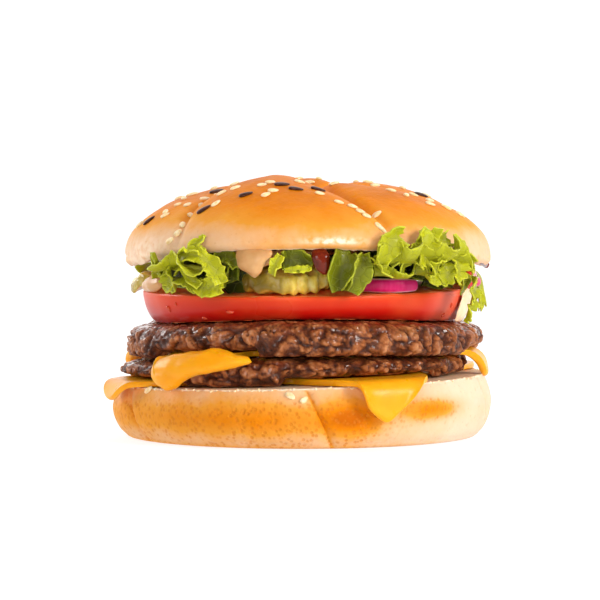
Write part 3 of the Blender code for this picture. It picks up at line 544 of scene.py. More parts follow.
def press_relief(piece, relief):
    """Moves each point along its normal: relief(point, normal) gives how far, and masks for the material."""
    mesh = piece.data
    normals = np.empty(len(mesh.vertices) * 3, dtype=np.float32)
    mesh.vertex_normals.foreach_get("vector", normals)
    normals = normals.reshape(-1, 3)
    found = {}
    for vertex, normal in zip(mesh.vertices, normals):
        height, masks = relief(vertex.co, normal)
        vertex.co += Vector(normal.tolist()) * height
        for mask, value in masks.items():
            found.setdefault(mask, []).append(value)
    add_masks(mesh, found)
    mesh.update()


# Materials

def feed(tree, socket, value):
    """Links another node's output to a socket, or sets the socket to a plain value."""
    if isinstance(value, bpy.types.NodeSocket):
        tree.links.new(value, socket)
    else:
        socket.default_value = value


def enabled(sockets, name=None):
    """The first socket in use, or the first one of that name."""
    return next(one for one in sockets if one.enabled and name in (None, one.name))


def add_node(tree, kind, inputs=None, **settings):
    node = tree.nodes.new("ShaderNode" + kind)
    for key, value in settings.items():
        setattr(node, key, value)
    for key, value in (inputs or {}).items():
        feed(tree, node.inputs[key], value)
    return node


def rgb(red, green, blue):
    return red, green, blue, 1.0


def soft(weight, radius, scale):
    """Shader values for light that sinks in and spreads."""
    return {"Subsurface_Weight": weight, "Subsurface_Radius": radius, "Subsurface_Scale": scale}


class Look:
    """One material and the few kinds of node that it is made of. Sizes are in metres."""

    def __init__(self, name):
        self.material = bpy.data.materials.new(name)
        self.material.use_nodes = True
        self.tree = self.material.node_tree
        self.shader = self.tree.nodes["Principled BSDF"]
        self.place = add_node(self.tree, "TexCoord").outputs["Object"]

    def set(self, **values):
        for key, value in values.items():
            feed(self.tree, self.shader.inputs[key.replace("_", " ")], value)

    def mask(self, name):
        return add_node(self.tree, "Attribute", attribute_name=name).outputs["Fac"]

    def cloud(self, size, detail=2.0, stretch=None, roughness=0.5):
        vector = self.place
        if stretch:
            vector = add_node(self.tree, "Mapping", {"Vector": vector, "Scale": stretch}).outputs[0]
        return add_node(self.tree, "TexNoise", {"Vector": vector, "Scale": 1.0 / size, "Detail": detail,
                                                "Roughness": roughness}).outputs[0]

    def cells(self, size, feature="F1"):
        inputs = {"Vector": self.place, "Scale": 1.0 / size}
        return add_node(self.tree, "TexVoronoi", inputs, feature=feature).outputs["Distance"]

    def math(self, operation, first, second, clamp=False):
        inputs = {0: first, 1: second}
        return add_node(self.tree, "Math", inputs, operation=operation, use_clamp=clamp).outputs[0]

    def times(self, first, second, clamp=False):
        return self.math("MULTIPLY", first, second, clamp)

    def span(self, value, low, high, to_low=0.0, to_high=1.0):
        return add_node(self.tree, "MapRange", {"Value": value, "From Min": low, "From Max": high,
                                                "To Min": to_low, "To Max": to_high}).outputs[0]

    def vary(self, value, texture, amount):
        """value plus a texture's departure from its middle, times amount."""
        return self.math("ADD", value, self.times(self.math("SUBTRACT", texture, 0.5), amount))

    def ramp(self, factor, *stops):
        node = add_node(self.tree, "ValToRGB", {"Fac": factor})
        elements = node.color_ramp.elements
        elements[0].position, elements[0].color = stops[0][0], rgb(*stops[0][1])
        elements[1].position, elements[1].color = stops[-1][0], rgb(*stops[-1][1])
        for position, colour in stops[1:-1]:
            elements.new(position).color = rgb(*colour)
        return node.outputs[0]

    def blend(self, factor, first, second, kind="RGBA"):
        """first to second as factor goes from 0 to 1: colours, or vectors where kind is VECTOR."""
        node = add_node(self.tree, "Mix", data_type=kind)
        for key, value in (("Factor", factor), ("A", first), ("B", second)):
            feed(self.tree, enabled(node.inputs, key), rgb(*value) if isinstance(value, tuple) else value)
        return enabled(node.outputs)

    def bump(self, height, depth, normal=None):
        inputs = {"Height": height, "Strength": 1.0, "Distance": depth}
        if normal:
            inputs["Normal"] = normal
        return add_node(self.tree, "Bump", inputs).outputs[0]


def bread_look(name, pits):
    """Baked dough: pale where it is young, golden to brown by the mask bake, floury by the mask flour."""
    look = Look(name)
    bake = look.vary(look.mask("bake"), look.cloud(0.011, 3.0), 0.30)
    bake = look.vary(bake, look.cloud(0.0022, 2.0), 0.10)
    colour = look.ramp(bake, (0.0, (0.82, 0.59, 0.42)), (0.28, (0.77, 0.46, 0.25)),
                       (0.52, (0.76, 0.31, 0.035)), (0.78, (0.72, 0.21, 0.001)), (1.0, (0.52, 0.12, 0.001)))
    speckle = look.span(look.cloud(0.0013, 1.0), 0.66, 0.74)
    colour = look.blend(look.times(speckle, 0.18), colour, (0.50, 0.16, 0.03))
    flour = look.times(look.mask("flour"), look.span(look.cloud(0.0018, 3.0), 0.35, 0.6), clamp=True)
    colour = look.blend(flour, colour, (0.92, 0.82, 0.66))
    normal = look.bump(look.cloud(0.0007, 3.0), 0.00010)
    normal = look.bump(look.cloud(0.0035, 2.0), 0.00035, normal)
    if pits:
        deep = look.span(look.cells(0.00150), 0.50, 0.24)
        deep = look.times(deep, look.span(look.cloud(0.0030, 1.0), 0.30, 0.46))
        deep = look.times(deep, look.span(bake, 0.24, 0.42))
        deep = look.times(deep, look.mask("pits"))
        # painted shade: the pits' dimples are coloured a darker brown
        colour = look.blend(look.times(deep, 0.58), colour, (0.62, 0.19, 0.014))
        normal = look.bump(look.math("SUBTRACT", 1.0, deep), 0.00018, normal)
    look.set(Base_Color=colour, Roughness=look.span(bake, 0.2, 0.9, 0.70, 0.48), Normal=normal,
             **soft(0.18, (1.0, 0.45, 0.2), 0.0022), Specular_IOR_Level=0.05)
    return look.material


def crumb_look(name):
    look = Look(name)
    tone = look.cloud(0.0012, 3.0)
    look.set(Base_Color=look.ramp(tone, (0.3, (0.80, 0.52, 0.24)), (0.6, (0.93, 0.78, 0.53))), Roughness=0.85,
             **soft(0.2, (1.0, 0.6, 0.3), 0.001),
             Normal=look.bump(look.cloud(0.0006, 3.0), 0.0003))
    return look.material


def beef_look(name):
    look = Look(name)
    # painted shade and light: depth runs from dark in the creases between lumps to pale on their tops
    depth = look.vary(look.mask("depth"), look.cloud(0.0011, 4.0, roughness=0.65), 0.42)
    meat = look.ramp(depth, (0.0, (0.010, 0.002, 0.001)), (0.34, (0.100, 0.022, 0.005)),
                     (0.60, (0.35, 0.105, 0.026)), (1.0, (0.66, 0.30, 0.130)))
    sear = look.times(look.mask("sear"), look.span(look.cloud(0.0042, 3.0), 0.36, 0.62), clamp=True)
    meat = look.blend(look.times(sear, 0.60), meat, (0.24, 0.036, 0.004))
    char = look.times(look.mask("sear"), look.span(look.cloud(0.0060, 4.0), 0.54, 0.68), clamp=True)
    meat = look.blend(look.times(char, 0.7), meat, (0.035, 0.012, 0.007))
    wet = look.times(look.span(look.cloud(0.0026, 3.0), 0.43, 0.54),
                     look.math("ADD", look.mask("sear"), 0.35, clamp=True), clamp=True)
    normal = look.bump(look.math("SUBTRACT", 1.0, look.cells(0.0013)), 0.00042)
    normal = look.bump(look.cloud(0.0006, 4.0, roughness=0.7), 0.00044, normal)
    look.set(Base_Color=meat, Roughness=0.55, Normal=normal, Specular_IOR_Level=0.22,
             Coat_Weight=wet, Coat_Roughness=0.07, **soft(0.08, (1.0, 0.3, 0.15), 0.0012))
    return look.material


def cheese_look(name):
    look = Look(name)
    tone = look.cloud(0.009, 2.0)
    colour = look.ramp(tone, (0.3, (0.86, 0.33, 0.003)), (0.7, (0.90, 0.39, 0.008)))
    normal = look.bump(look.cloud(0.0009, 2.0), 0.00003)
    normal = look.bump(look.cloud(0.006, 1.0), 0.00020, normal)
    look.set(Base_Color=colour, Roughness=look.span(look.cloud(0.003, 2.0), 0.3, 0.7, 0.26, 0.38),
             Normal=normal, Specular_IOR_Level=0.20, **soft(0.30, (1.0, 0.45, 0.05), 0.003))
    return look.material


def tomato_look(name):
    look = Look(name)
    # painted shade and light: the skin colour darkens towards the bottom of the side and brightens towards its
    # top
    skin = look.ramp(look.mask("up"), (0.0, (0.34, 0.001, 0.001)), (0.30, (0.50, 0.006, 0.002)),
                     (0.75, (0.62, 0.034, 0.004)), (1.0, (0.70, 0.070, 0.008)))
    streaks = look.span(look.cloud(0.016, 2.0, (1.0, 1.0, 1.6)), 0.45, 0.75)
    skin = look.blend(look.times(streaks, 0.22), skin, (0.80, 0.14, 0.030))
    flesh = look.ramp(look.cloud(0.0024, 4.0), (0.3, (0.85, 0.10, 0.020)), (0.55, (0.95, 0.22, 0.050)),
                      (0.75, (0.98, 0.45, 0.16)))
    # painted light: a paler, pinker patch on the right end of the side, standing in for the lamp's glossy
    # reflection there
    skin = look.blend(look.times(look.mask("pale"), 0.75), skin, (0.86, 0.16, 0.085))
    # painted highlight: rim is a bright line along the top edge of the cut face
    rim = look.mask("rim")
    colour = look.blend(look.mask("side"), flesh, skin)
    colour = look.blend(look.times(rim, 0.8), colour, (0.88, 0.22, 0.08))
    normal = look.bump(look.cloud(0.012, 1.0), 0.0003)
    wet = look.bump(look.cloud(0.0011, 4.0), 0.00025)
    look.set(Base_Color=colour, Normal=look.blend(look.mask("side"), wet, normal, "VECTOR"),
             Roughness=look.span(look.cloud(0.02, 2.0), 0.3, 0.7, 0.26, 0.36),
             Specular_IOR_Level=0.20, **soft(0.25, (1.0, 0.12, 0.05), 0.006))
    return look.material


def pickle_look(name):
    look = Look(name)
    flesh = look.ramp(look.cloud(0.0030, 4.0), (0.28, (0.62, 0.42, 0.040)), (0.5, (0.95, 0.70, 0.100)),
                      (0.72, (1.0, 0.88, 0.28)))
    # this mask holds both the dark green skin at the rim and painted shade over the front pickle's left half
    colour = look.blend(look.times(look.mask("skin"), 0.95), flesh, (0.15, 0.095, 0.006))
    normal = look.bump(look.cloud(0.0016, 3.0), 0.00035)
    look.set(Base_Color=colour, Roughness=0.20, Specular_IOR_Level=0.35, Normal=normal,
             **soft(0.45, (1.0, 0.8, 0.2), 0.003))
    return look.material


def onion_look(name):
    look = Look(name)
    streak = look.span(look.cloud(0.0022, 3.0, (1.0, 1.0, 0.15)), 0.40, 0.72)
    wall = look.blend(look.times(streak, 0.4), (0.55, 0.002, 0.110), (0.72, 0.09, 0.29))
    inside = look.ramp(look.cloud(0.0018, 2.0), (0.35, (0.78, 0.52, 0.62)), (0.65, (0.90, 0.78, 0.80)))
    look.set(Base_Color=look.blend(look.mask("wall"), inside, wall), Roughness=0.36,
             Specular_IOR_Level=0.25, Normal=look.bump(look.cloud(0.0014, 2.0, (1.0, 1.0, 0.2)), 0.00012),
             **soft(0.3, (1.0, 0.4, 0.5), 0.002))
    return look.material


def lettuce_look(name):
    """A thin leaf, by the masks margin and tone: fresh yellow-green, or dark green where tone is high, partly
    the leaf's own darker green and partly painted shade; veined, paler at its frilled margin.
    """
    look = Look(name)
    margin, tone = look.mask("margin"), look.mask("tone")
    fresh = look.ramp(look.vary(margin, look.cloud(0.005, 3.0), 0.5), (0.0, (0.46, 0.46, 0.045)),
                      (0.4, (0.51, 0.515, 0.013)), (0.85, (0.58, 0.58, 0.015)), (1.0, (0.63, 0.63, 0.024)))
    # deep: dark green, partly the leaf's own darker green and partly painted shade for leaves in shadow
    deep = look.ramp(look.vary(margin, look.cloud(0.004, 3.0), 0.5), (0.0, (0.020, 0.028, 0.001)),
                     (0.6, (0.046, 0.064, 0.001)), (0.95, (0.085, 0.115, 0.002)), (1.0, (0.24, 0.28, 0.010)))
    leaf = look.blend(look.vary(tone, look.cloud(0.008, 2.0), 0.25), fresh, deep)
    vein = look.span(look.cells(0.0030, "DISTANCE_TO_EDGE"), 0.06, 0.0)
    leaf = look.blend(look.times(vein, 0.12), leaf, (0.52, 0.58, 0.12))
    edge = look.span(margin, 0.94, 1.0)
    leaf = look.blend(look.times(edge, 0.12), leaf, (0.66, 0.64, 0.11))
    normal = look.bump(look.times(vein, -1.0), 0.00014)
    normal = look.bump(look.cloud(0.0016, 2.0), 0.00020, normal)
    look.set(Base_Color=leaf, Roughness=look.span(look.cloud(0.004, 2.0), 0.3, 0.7, 0.30, 0.46), Normal=normal,
             Specular_IOR_Level=0.18, **soft(0.25, (0.9, 1.0, 0.15), 0.0010))
    return look.material


def sauce_look(name, dark, light, roughness):
    look = Look(name)
    colour = look.ramp(look.cloud(0.004, 2.0), (0.3, dark), (0.7, light))
    look.set(Base_Color=colour, Roughness=roughness, Specular_IOR_Level=0.30,
             Normal=look.bump(look.cloud(0.0025, 2.0), 0.0002), **soft(0.3, (1.0, 0.5, 0.3), 0.002))
    return look.material


def seed_look(name, dark, light, roughness, glow):
    look = Look(name)
    colour = look.ramp(look.cloud(0.0012, 2.0), (0.3, dark), (0.7, light))
    look.set(Base_Color=colour, Roughness=roughness, Specular_IOR_Level=0.25,
             Normal=look.bump(look.cloud(0.0005, 2.0, (1.0, 1.0, 1.0)), 0.00008),
             **soft(glow, (1.0, 0.7, 0.4), 0.001))
    return look.material


def drop_look(name):
    look = Look(name)
    look.set(Base_Color=rgb(0.80, 0.10, 0.04), Roughness=0.06, Transmission_Weight=0.35, IOR=1.34,
             Normal=look.bump(look.cloud(0.002, 1.0), 0.00002))
    return look.material


# Bread

def heel_radius(azimuth):
    turn = math.radians(azimuth)
    return HEEL_RADIUS * (1.0 + 0.008 * math.cos(2 * turn + 0.6) + 0.006 * math.cos(3 * turn))


def heel_point(azimuth, share):
    out, up = on_profile(HEEL_PROFILE, share)
    radius = heel_radius(azimuth) * out
    side = smooth(0.86, 0.97, out) * (1.0 - smooth(0.9, 1.0, up))
    for seam in HEEL_SEAMS:
        offset = apart(azimuth, seam + HEEL_SEAM_LEAN * (0.5 - up))
        radius -= HEEL_SEAM_DEPTH * side * hump(offset, HEEL_SEAM_WIDTH * 0.6)
        radius -= HEEL_CREASE[1] * side * hump(offset, HEEL_CREASE[0])
    point = polar(azimuth, radius, 0.0)
    point.z = max(0.0, up) * level(HEEL_TOP, point.x)
    return point


def heel_bake(azimuth, up):
    """How brown the heel's side is: patches in a band; a fine darker line along one seam, which is painted shade
    in its crease; and paler at the right, partly the crust's own paler bake and partly painted light where the
    lamp light falls strongest.
    """
    band = hump(up - HEEL_PATCH_BAND[0], HEEL_PATCH_BAND[1])
    patches = sum(brown * hump(apart(azimuth, middle), width) for brown, middle, width in HEEL_PATCHES)
    brown, middle, width = HEEL_HIGH_PATCH
    patches += brown * hump(apart(azimuth, middle), width) * hump(up - 0.62, 0.2)
    # painted light: paler at the right, where the lamp light falls strongest; partly the crust's own paler bake
    # there
    pale = 0.26 * smooth(26, 62, azimuth) * smooth(120, 75, azimuth)
    # painted shade: a darker fine line in the front seam's crease
    crease = 0.17 * hump(apart(azimuth, HEEL_SEAMS[1] + HEEL_SEAM_LEAN * (0.5 - up)), 0.6)
    return 0.25 + 0.13 * hump(apart(azimuth, -50), 60) + band * patches + crease - pale \
        + 0.12 * smooth(0.10, 0.0, up)


def add_heel():
    def place(azimuth, share):
        point = heel_point(azimuth, share)
        up = point.z / level(HEEL_TOP, point.x)
        rim = hump(share - 3.3 / 11, 0.018)
        ragged = lumps(point, 0.0012, 3) * 0.6 + lumps(point, 0.0028, 9)
        point.z += 0.0005 * rim * ragged
        point += polar(azimuth, 0.0004 * rim * ragged, 0.0)
        cut = smooth(3.45 / 11, 3.15 / 11, share)
        return point, {"bake": mix(heel_bake(azimuth, up), 0.17, cut), "flour": 0.9 * rim, "pits": (1.0 - cut)
                       * smooth(0.95, 0.7, up)}

    shares = stepped((0.0, 3.0 / 11, 3.8 / 11, 8.5 / 11, 9.2 / 11, 1.0), (14, 10, 44, 6, 8))
    heel = round_piece("heel_crust", 620, shares, place, bread_look("bread_heel", True))

    def relief(point, normal):
        side = 1.0 - abs(float(normal[2]))
        height = 0.00045 * lumps(point, 0.014, 21) + 0.00016 * lumps(point, 0.0045, 5)
        return height * side, {}

    press_relief(heel, relief)
    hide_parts("bun_heel")
    return heel


def under_crown(x, y):
    """Height of the crown's cut underside, which arches over the fillings from side to side."""
    arch = 1.0 - min(1.0, abs(x - CROWN_X) / CROWN_RADIUS) ** CROWN_ARCH_POWER
    back = max(0.0, y / CROWN_RADIUS) ** 2
    return CROWN_SIDE_Z + CROWN_ARCH * arch - CROWN_BACK_DROP * back


def crown_lobe(azimuth, out):
    """(lobe, share of the way across it, its width in degrees) at a place on the dome."""
    loosened = (1.0 - out) ** 1.2
    seams = [seam + twist * loosened for seam, twist, _ in CROWN_LOBES]
    for index, seam in enumerate(seams):
        width = (seams[(index + 1) % len(seams)] - seam) % 360.0
        offset = (azimuth - seam) % 360.0
        if offset < width:
            return index, offset / width, width
    return 0, 0.0, 72.0


def crown_swelling(azimuth, out):
    """How far the dough stands out from the plain dome: lobes, less the seams between them."""
    out = min(1.0, max(0.0, out))
    index, across, width = crown_lobe(azimuth, out)
    rise = CROWN_LOBES[index][2]
    lobe = math.sin(math.pi * across ** LOBE_LEAN) ** 0.7
    radius = max(out, 0.05) * CROWN_RADIUS
    to_seam = min(across, 1.0 - across) * math.radians(width) * radius
    seam = SEAM_DEPTH * hump(to_seam, SEAM_WIDTH * 0.6)
    return (rise * lobe * smooth(1.15, 0.45, out) - seam) * smooth(0.02, 0.30, out)


def crown_radius(azimuth):
    _, across, _ = crown_lobe(azimuth, 1.0)
    return CROWN_RADIUS * (0.975 + 0.030 * math.sin(math.pi * across) ** 0.5)


def dome_place(share):
    """(share of the radius, share of the height) on the crown's dome."""
    angle = min(1.0, share / DOME_SHARE) * math.pi / 2.0
    return math.sin(angle) ** (2.0 / DOME_POWER), max(0.0, math.cos(angle)) ** (2.0 / DOME_POWER)


def crown_point(azimuth, share):
    """A point of the crown: the dome, the lip that turns in at its foot, then the cut underside."""
    radius = crown_radius(azimuth)
    foot = polar(azimuth, radius * CROWN_TUCK, 0.0, CROWN_X)
    lip_z = under_crown(foot.x, foot.y)
    if share > LIP_SHARE:
        left = (1.0 - share) / (1.0 - LIP_SHARE)
        point = polar(azimuth, radius * CROWN_TUCK * left, 0.0, CROWN_X)
        point.z = under_crown(point.x, point.y)
        return point
    if share > DOME_SHARE:
        down = (share - DOME_SHARE) / (LIP_SHARE - DOME_SHARE)
        z = lip_z + CROWN_LIP * (1.0 - down)
        return polar(azimuth, radius * mix(1.0, CROWN_TUCK, down ** 2), z, CROWN_X)
    out, up = dome_place(share)
    base = lip_z + CROWN_LIP
    swelling = crown_swelling(azimuth, out)
    return polar(azimuth, radius * out + swelling * out ** 3 * up, mix(base, CROWN_TOP_Z, up)
                 + swelling * math.sqrt(up), CROWN_X)


def crown_bake(azimuth, share):
    """How brown the crown is: golden on top of the lobes, pale in the seams and towards the foot, browner low on
    the front as painted shade, and paler low on the right flank, partly the crust's own paler bake and partly
    painted light.
    """
    out, up = dome_place(share)
    _, across, _ = crown_lobe(azimuth, out)
    lobe = math.sin(math.pi * across) ** 0.6
    top = smooth(0.10, 0.85, up)
    toned = top * mix(0.60, 1.0, lobe) - 0.30 * hump(apart(azimuth, -62), 38) * (1.0 - up)
    # painted shade: browner low on the front, where less light reaches
    toned += 0.22 * hump(apart(azimuth, -2), 34) * (1.0 - top)
    # the last term makes the low right flank paler: partly the crust's own bake, partly painted light from the
    # lamp on that side
    return 0.31 + 0.585 * toned - 0.16 * smooth(40, 75, azimuth) * smooth(150, 90, azimuth) * (1.0 - up)


def add_crown():
    def place(azimuth, share):
        point = crown_point(azimuth, share)
        under = smooth(LIP_SHARE - 0.02, LIP_SHARE + 0.01, share)
        foot = hump(share - LIP_SHARE, 0.014)
        ragged = lumps(point, 0.0011, 31) * 0.6 + lumps(point, 0.0030, 37)
        point.z += 0.0004 * foot * ragged
        floury = 0.9 * hump(apart(azimuth, 8), 9) * hump(share - 0.735, 0.030) + 0.15 * foot
        floury += 0.5 * hump(apart(azimuth, -66), 16) * smooth(0.55, 0.75, share) * (1.0 - under)
        return point, {"bake": mix(crown_bake(azimuth, share), 0.05, under), "flour": min(1.0, floury)}

    shares = stepped((0.0, DOME_SHARE, LIP_SHARE, LIP_SHARE + 0.03, 1.0), (96, 20, 5, 10))
    crown = round_piece("crown_crust", 520, shares, place, bread_look("bread_crown", False))

    def relief(point, normal):
        up = max(0.0, float(normal[2]))
        height = 0.00040 * lumps(point, 0.013, 41) + 0.00012 * lumps(point, 0.0048, 43)
        flank = (1.0 - up) * smooth(0.066, 0.056, point.z)
        fold = 1.0 - abs(lumps(Vector((point.x * 0.6, point.y * 0.6, point.z * 1.5)), 0.0062, 47)) * 3.0
        left = smooth(-0.030, -0.048, point.x)
        return height - 0.0007 * max(0.0, fold) * flank * left, {}

    press_relief(crown, relief)
    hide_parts("bun_crown")
    return crown


# Beef

def rim_droop(corners, cheese_x, middle_x, radius, azimuth):
    """How far a patty's rim hangs past the cheese under it: not at all where the slice comes out near by."""
    turns = (-PATTY_DROOP_CLEAR, 0.0, PATTY_DROOP_CLEAR)
    reach = max(slice_reach(corners, azimuth + turn)[0] for turn in turns)
    reach += (cheese_x - middle_x) * math.sin(math.radians(azimuth))
    return PATTY_DROOP * smooth(0.0012, 0.0042, PATTY_DROOP_FROM * radius - reach)


def add_patty(name, node, middle_x, radius, bottom, top, seed, corners, cheese_x, material):
    """A minced patty, whose side is lumps of meat pressed together."""

    def place(azimuth, share):
        out, up = on_profile(PATTY_PROFILE, share)
        turn = math.radians(azimuth)
        outline = radius * (1.0 + 0.010 * math.cos(2 * turn + seed) + 0.008 * math.cos(5 * turn))
        point = polar(azimuth, outline * out, 0.0, middle_x)
        low, high = level(bottom, point.x), level(top, point.x)
        spot = Vector((point.x, point.y, mix(low, high, up)))
        rough = lumps(spot, 0.0065, seed) + 0.5 * lumps(spot, 0.0032, seed + 5)
        side = smooth(0.8, 0.95, out)
        point += polar(azimuth, 0.0012 * rough * side, 0.0)
        dent = 0.0007 * (0.5 + 0.5 * rough) * (1.0 - side)
        point.z = mix(low + dent, high - dent, min(1.0, max(0.0, up)))
        hanging = smooth(PATTY_DROOP_FROM, 0.93, out) * smooth(0.8, 0.3, up)
        point.z -= hanging * rim_droop(corners, cheese_x, middle_x, radius, azimuth)
        return point, {"sear": smooth(0.45, 0.9, up) + 0.5 * smooth(0.25, 0.0, up)}

    shares = stepped((0.0, 0.20, 0.80, 1.0), (6, 58, 5))
    patty = round_piece(name, 620, shares, place, material)

    def relief(point, normal):
        wander = noise.noise_vector(point / 0.0055) * 0.0030
        spot = point + wander
        big, crease = pebbles(spot, 0.0072, seed)
        small, seam = pebbles(spot, 0.0031, seed + 7)
        fine, _ = pebbles(point + wander * 0.4, 0.0013, seed + 13)
        side = smooth(0.95, 0.55, abs(float(normal[2])))
        uneven = 0.75 + 0.5 * lumps(point, 0.010, seed + 3)
        height = 0.0015 * big * crease * uneven + 0.0008 * small * seam + 0.00030 * fine - 0.0010
        # depth: low in the creases between lumps, high on their tops; the meat's colour follows it as painted
        # shade and light
        depth = 0.02 + 0.40 * big * crease + 0.34 * small * seam + 0.22 * fine
        return height * mix(0.30, 1.0, side), {"depth": depth}

    press_relief(patty, relief)
    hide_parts(node)
    return patty


# Tomato, pickles and onion

def tomato_radius(azimuth):
    turn = math.radians(azimuth)
    return TOMATO_RADIUS * (1.0 + 0.006 * math.cos(3 * turn + 1.0) + 0.004 * math.cos(5 * turn))


def tomato_top(x, y):
    """Height of the tomato's top face, which falls a little towards its rim."""
    out = math.hypot(x - TOMATO_X, y) / TOMATO_RADIUS
    return level(TOMATO_TOP, x) - TOMATO_FALL * smooth(0.60, 1.0, out)


def add_tomato():
    def place(azimuth, share):
        out, up = on_profile(TOMATO_PROFILE, share)
        point = polar(azimuth, tomato_radius(azimuth) * out, 0.0, TOMATO_X)
        bottom = level(above(UPPER_PATTY_TOP, GAP), point.x)
        point.z = mix(bottom, tomato_top(point.x, point.y), min(1.0, max(0.0, up)))
        top_face = smooth(2.65 / 9, 2.35 / 9, share) + smooth(7.2 / 9, 7.6 / 9, share)
        # masks for painted light: up darkens the skin low and brightens it high, rim is a painted highlight
        # along the top edge, pale a painted reflection at the right
        return point, {"up": up, "side": 1.0 - top_face, "rim": hump(share - 2.55 / 9, 0.010),
                       "pale": smooth(44, 66, azimuth) * smooth(130, 95, azimuth)}

    shares = stepped((0.0, 2.0 / 9, 3.2 / 9, 6.6 / 9, 7.2 / 9, 1.0), (10, 14, 26, 8, 6))
    tomato = round_piece("tomato_skin", 300, shares, place, tomato_look("tomato"))

    def relief(point, normal):
        flat = smooth(0.7, 0.95, abs(float(normal[2])))
        return 0.00028 * lumps(point, 0.0030, 51) * flat + 0.00030 * lumps(point, 0.022, 53) * (1.0 - flat), {}

    press_relief(tomato, relief)
    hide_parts("tomato_slice")
    return tomato


def pickle_droop(x, y):
    """How far a pickle bends down where it hangs past the tomato's rim."""
    past = max(0.0, math.hypot(x - TOMATO_X, y) - TOMATO_RADIUS + 0.002)
    return PICKLE_DROOP * past * past


def add_pickle(name, material):
    middle_x, middle_y, radius, thickness, direction = PICKLES[name]
    waves = polar(direction, 1.0, 0.0)

    def place(azimuth, share):
        out, up = on_profile(PICKLE_PROFILE, share)
        point = polar(azimuth, radius * out * (1.0 + 0.03 * math.cos(math.radians(3 * azimuth))), 0.0)
        ripple = PICKLE_WAVE_DEPTH * math.sin(2.0 * math.pi * point.dot(waves) / PICKLE_WAVE)
        point += Vector((middle_x, middle_y, 0.0))
        foot = tomato_top(point.x, point.y) + GAP + PICKLE_WAVE_DEPTH
        point.z = foot + ripple + thickness * up - pickle_droop(point.x, point.y)
        rough = 0.5 + 0.5 * lumps(point, 0.004, 61)
        # painted shade: the front pickle's left half gets more of the dark skin colour and its right half less
        shade = mix(1.0, 0.10, smooth(-0.008, 0.000, point.x)) if name == "pickle_front" else 0.8
        return point, {"skin": mix(0.35, 1.0, smooth(0.94, 0.99, out)) * mix(0.6, 1.0, rough) * shade}

    shares = stepped((0.0, 0.2, 0.8, 1.0), (8, 22, 8))
    piece = round_piece(name.replace("pickle", "pickle_slice"), 140, shares, place,
                        material)

    def relief(point, normal):
        ridges = math.sin(2.0 * math.pi * point.x / PICKLE_RIDGE) * smooth(-0.009, -0.003, point.x)
        return 0.00025 * lumps(point, 0.0028, 67) + 0.00012 * lumps(point, 0.0012, 69) + 0.0004 * ridges, {}

    press_relief(piece, relief)
    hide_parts(name)


def add_onion(name, material):
    """Part of an onion ring: a bent slat with rounded edges, purple outside and pale where it is cut."""
    middle_x, middle_y, radius, first, last, height = ONIONS[name]

    def place(azimuth, share):
        """The slat's outline, as a rounded box swept along the ring: azimuth runs round its section."""
        turn = math.radians(azimuth)
        across, up = math.sin(turn), -math.cos(turn)
        size = (abs(across) ** 5 + abs(up) ** 5) ** 0.2
        across, up = across / size, up / size
        ends = math.sin(math.pi * share) ** 0.10
        angle = mix(first, last, share)
        depth = ONION_THICKNESS * 0.5
        out = radius - depth + depth * across * ends + 0.0005 * (1.0 - up * up)
        point = polar(angle, out, 0.0) + Vector((middle_x, middle_y, 0.0))
        point.z = tomato_top(point.x, point.y) + GAP + height * (0.5 + 0.5 * up * ends)
        return point, {"wall": smooth(0.2, 0.8, across) * smooth(0.95, 0.84, abs(up)) * smooth(0.5, 0.7, ends)}

    shares = stepped((0.0, 0.06, 0.94, 1.0), (6, 60, 6))
    piece = round_piece(name.replace("onion", "onion_ring"), 48, shares, place,
                        material)
    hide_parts(name)


# Cheese

def corner_reach(corner, azimuth):
    """How far one corner takes its slice out at an azimuth: straight flanks that meet in a rounded tip."""
    offset = apart(azimuth, corner.azimuth) / corner.width
    away = math.hypot(offset, corner.blunt) - corner.blunt
    tip = max(0.0, 1.0 - away / (math.hypot(1.0, corner.blunt) - corner.blunt))
    return mix(CHEESE_INSIDE, corner.reach, tip)


def slice_reach(corners, azimuth):
    """Length of a melted slice from its middle to its rim, and the corner that takes it there."""
    return max(((corner_reach(corner, azimuth), corner) for corner in corners), key=lambda pair: pair[0])


def draped(corners, middle_x, edge, bottom, azimuth, share):
    """A point of a slice that lies level out to edge(azimuth), the rim of what it lies on, then hangs down."""
    along_slice, through = on_profile(CHEESE_PROFILE, share)
    reach, corner = slice_reach(corners, azimuth)
    rest = edge(azimuth)
    hinge = min(rest, CHEESE_RIM * reach)
    if along_slice < CHEESE_HINGE:
        path = hinge * along_slice / CHEESE_HINGE
    else:
        path = mix(hinge, reach, (along_slice - CHEESE_HINGE) / (1.0 - CHEESE_HINGE))
    past = max(0.0, path - rest)
    azimuth += corner.drift * smooth(0.0, 0.010, past)
    hang = max(0.05, smooth(0.0, CHEESE_STIFF, reach - rest))
    bend_radius = corner.bend_radius / hang
    angle = min(math.radians(corner.bend) * hang, past / bend_radius)
    straight = past - bend_radius * angle
    out = min(path, rest) + bend_radius * math.sin(angle) + straight * math.cos(angle)
    drop = bend_radius * (1.0 - math.cos(angle)) + straight * math.sin(angle)
    swell = CHEESE_SWELL * corner.swell * smooth(0.001, 0.007, past)
    lift = (CHEESE_THICKNESS + swell) * min(1.0, max(0.0, through))
    point = polar(azimuth, out + lift * math.sin(angle), 0.0, middle_x)
    point.z = level(bottom, point.x) - drop + lift * math.cos(angle)
    return point


def add_cheese(name, node, corners, middle_x, edge, bottom, material):
    def place(azimuth, share):
        return draped(corners, middle_x, edge, bottom, azimuth, share), {}

    shares = stepped((0.0, 2.0 / 12, 10.0 / 12, 1.0), (5, 60, 5))
    piece = round_piece(name, 420, shares, place, material)
    press_relief(piece, lambda point, normal: (0.00018 * lumps(point, 0.009, 71), {}))
    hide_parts(node)


# Lettuce

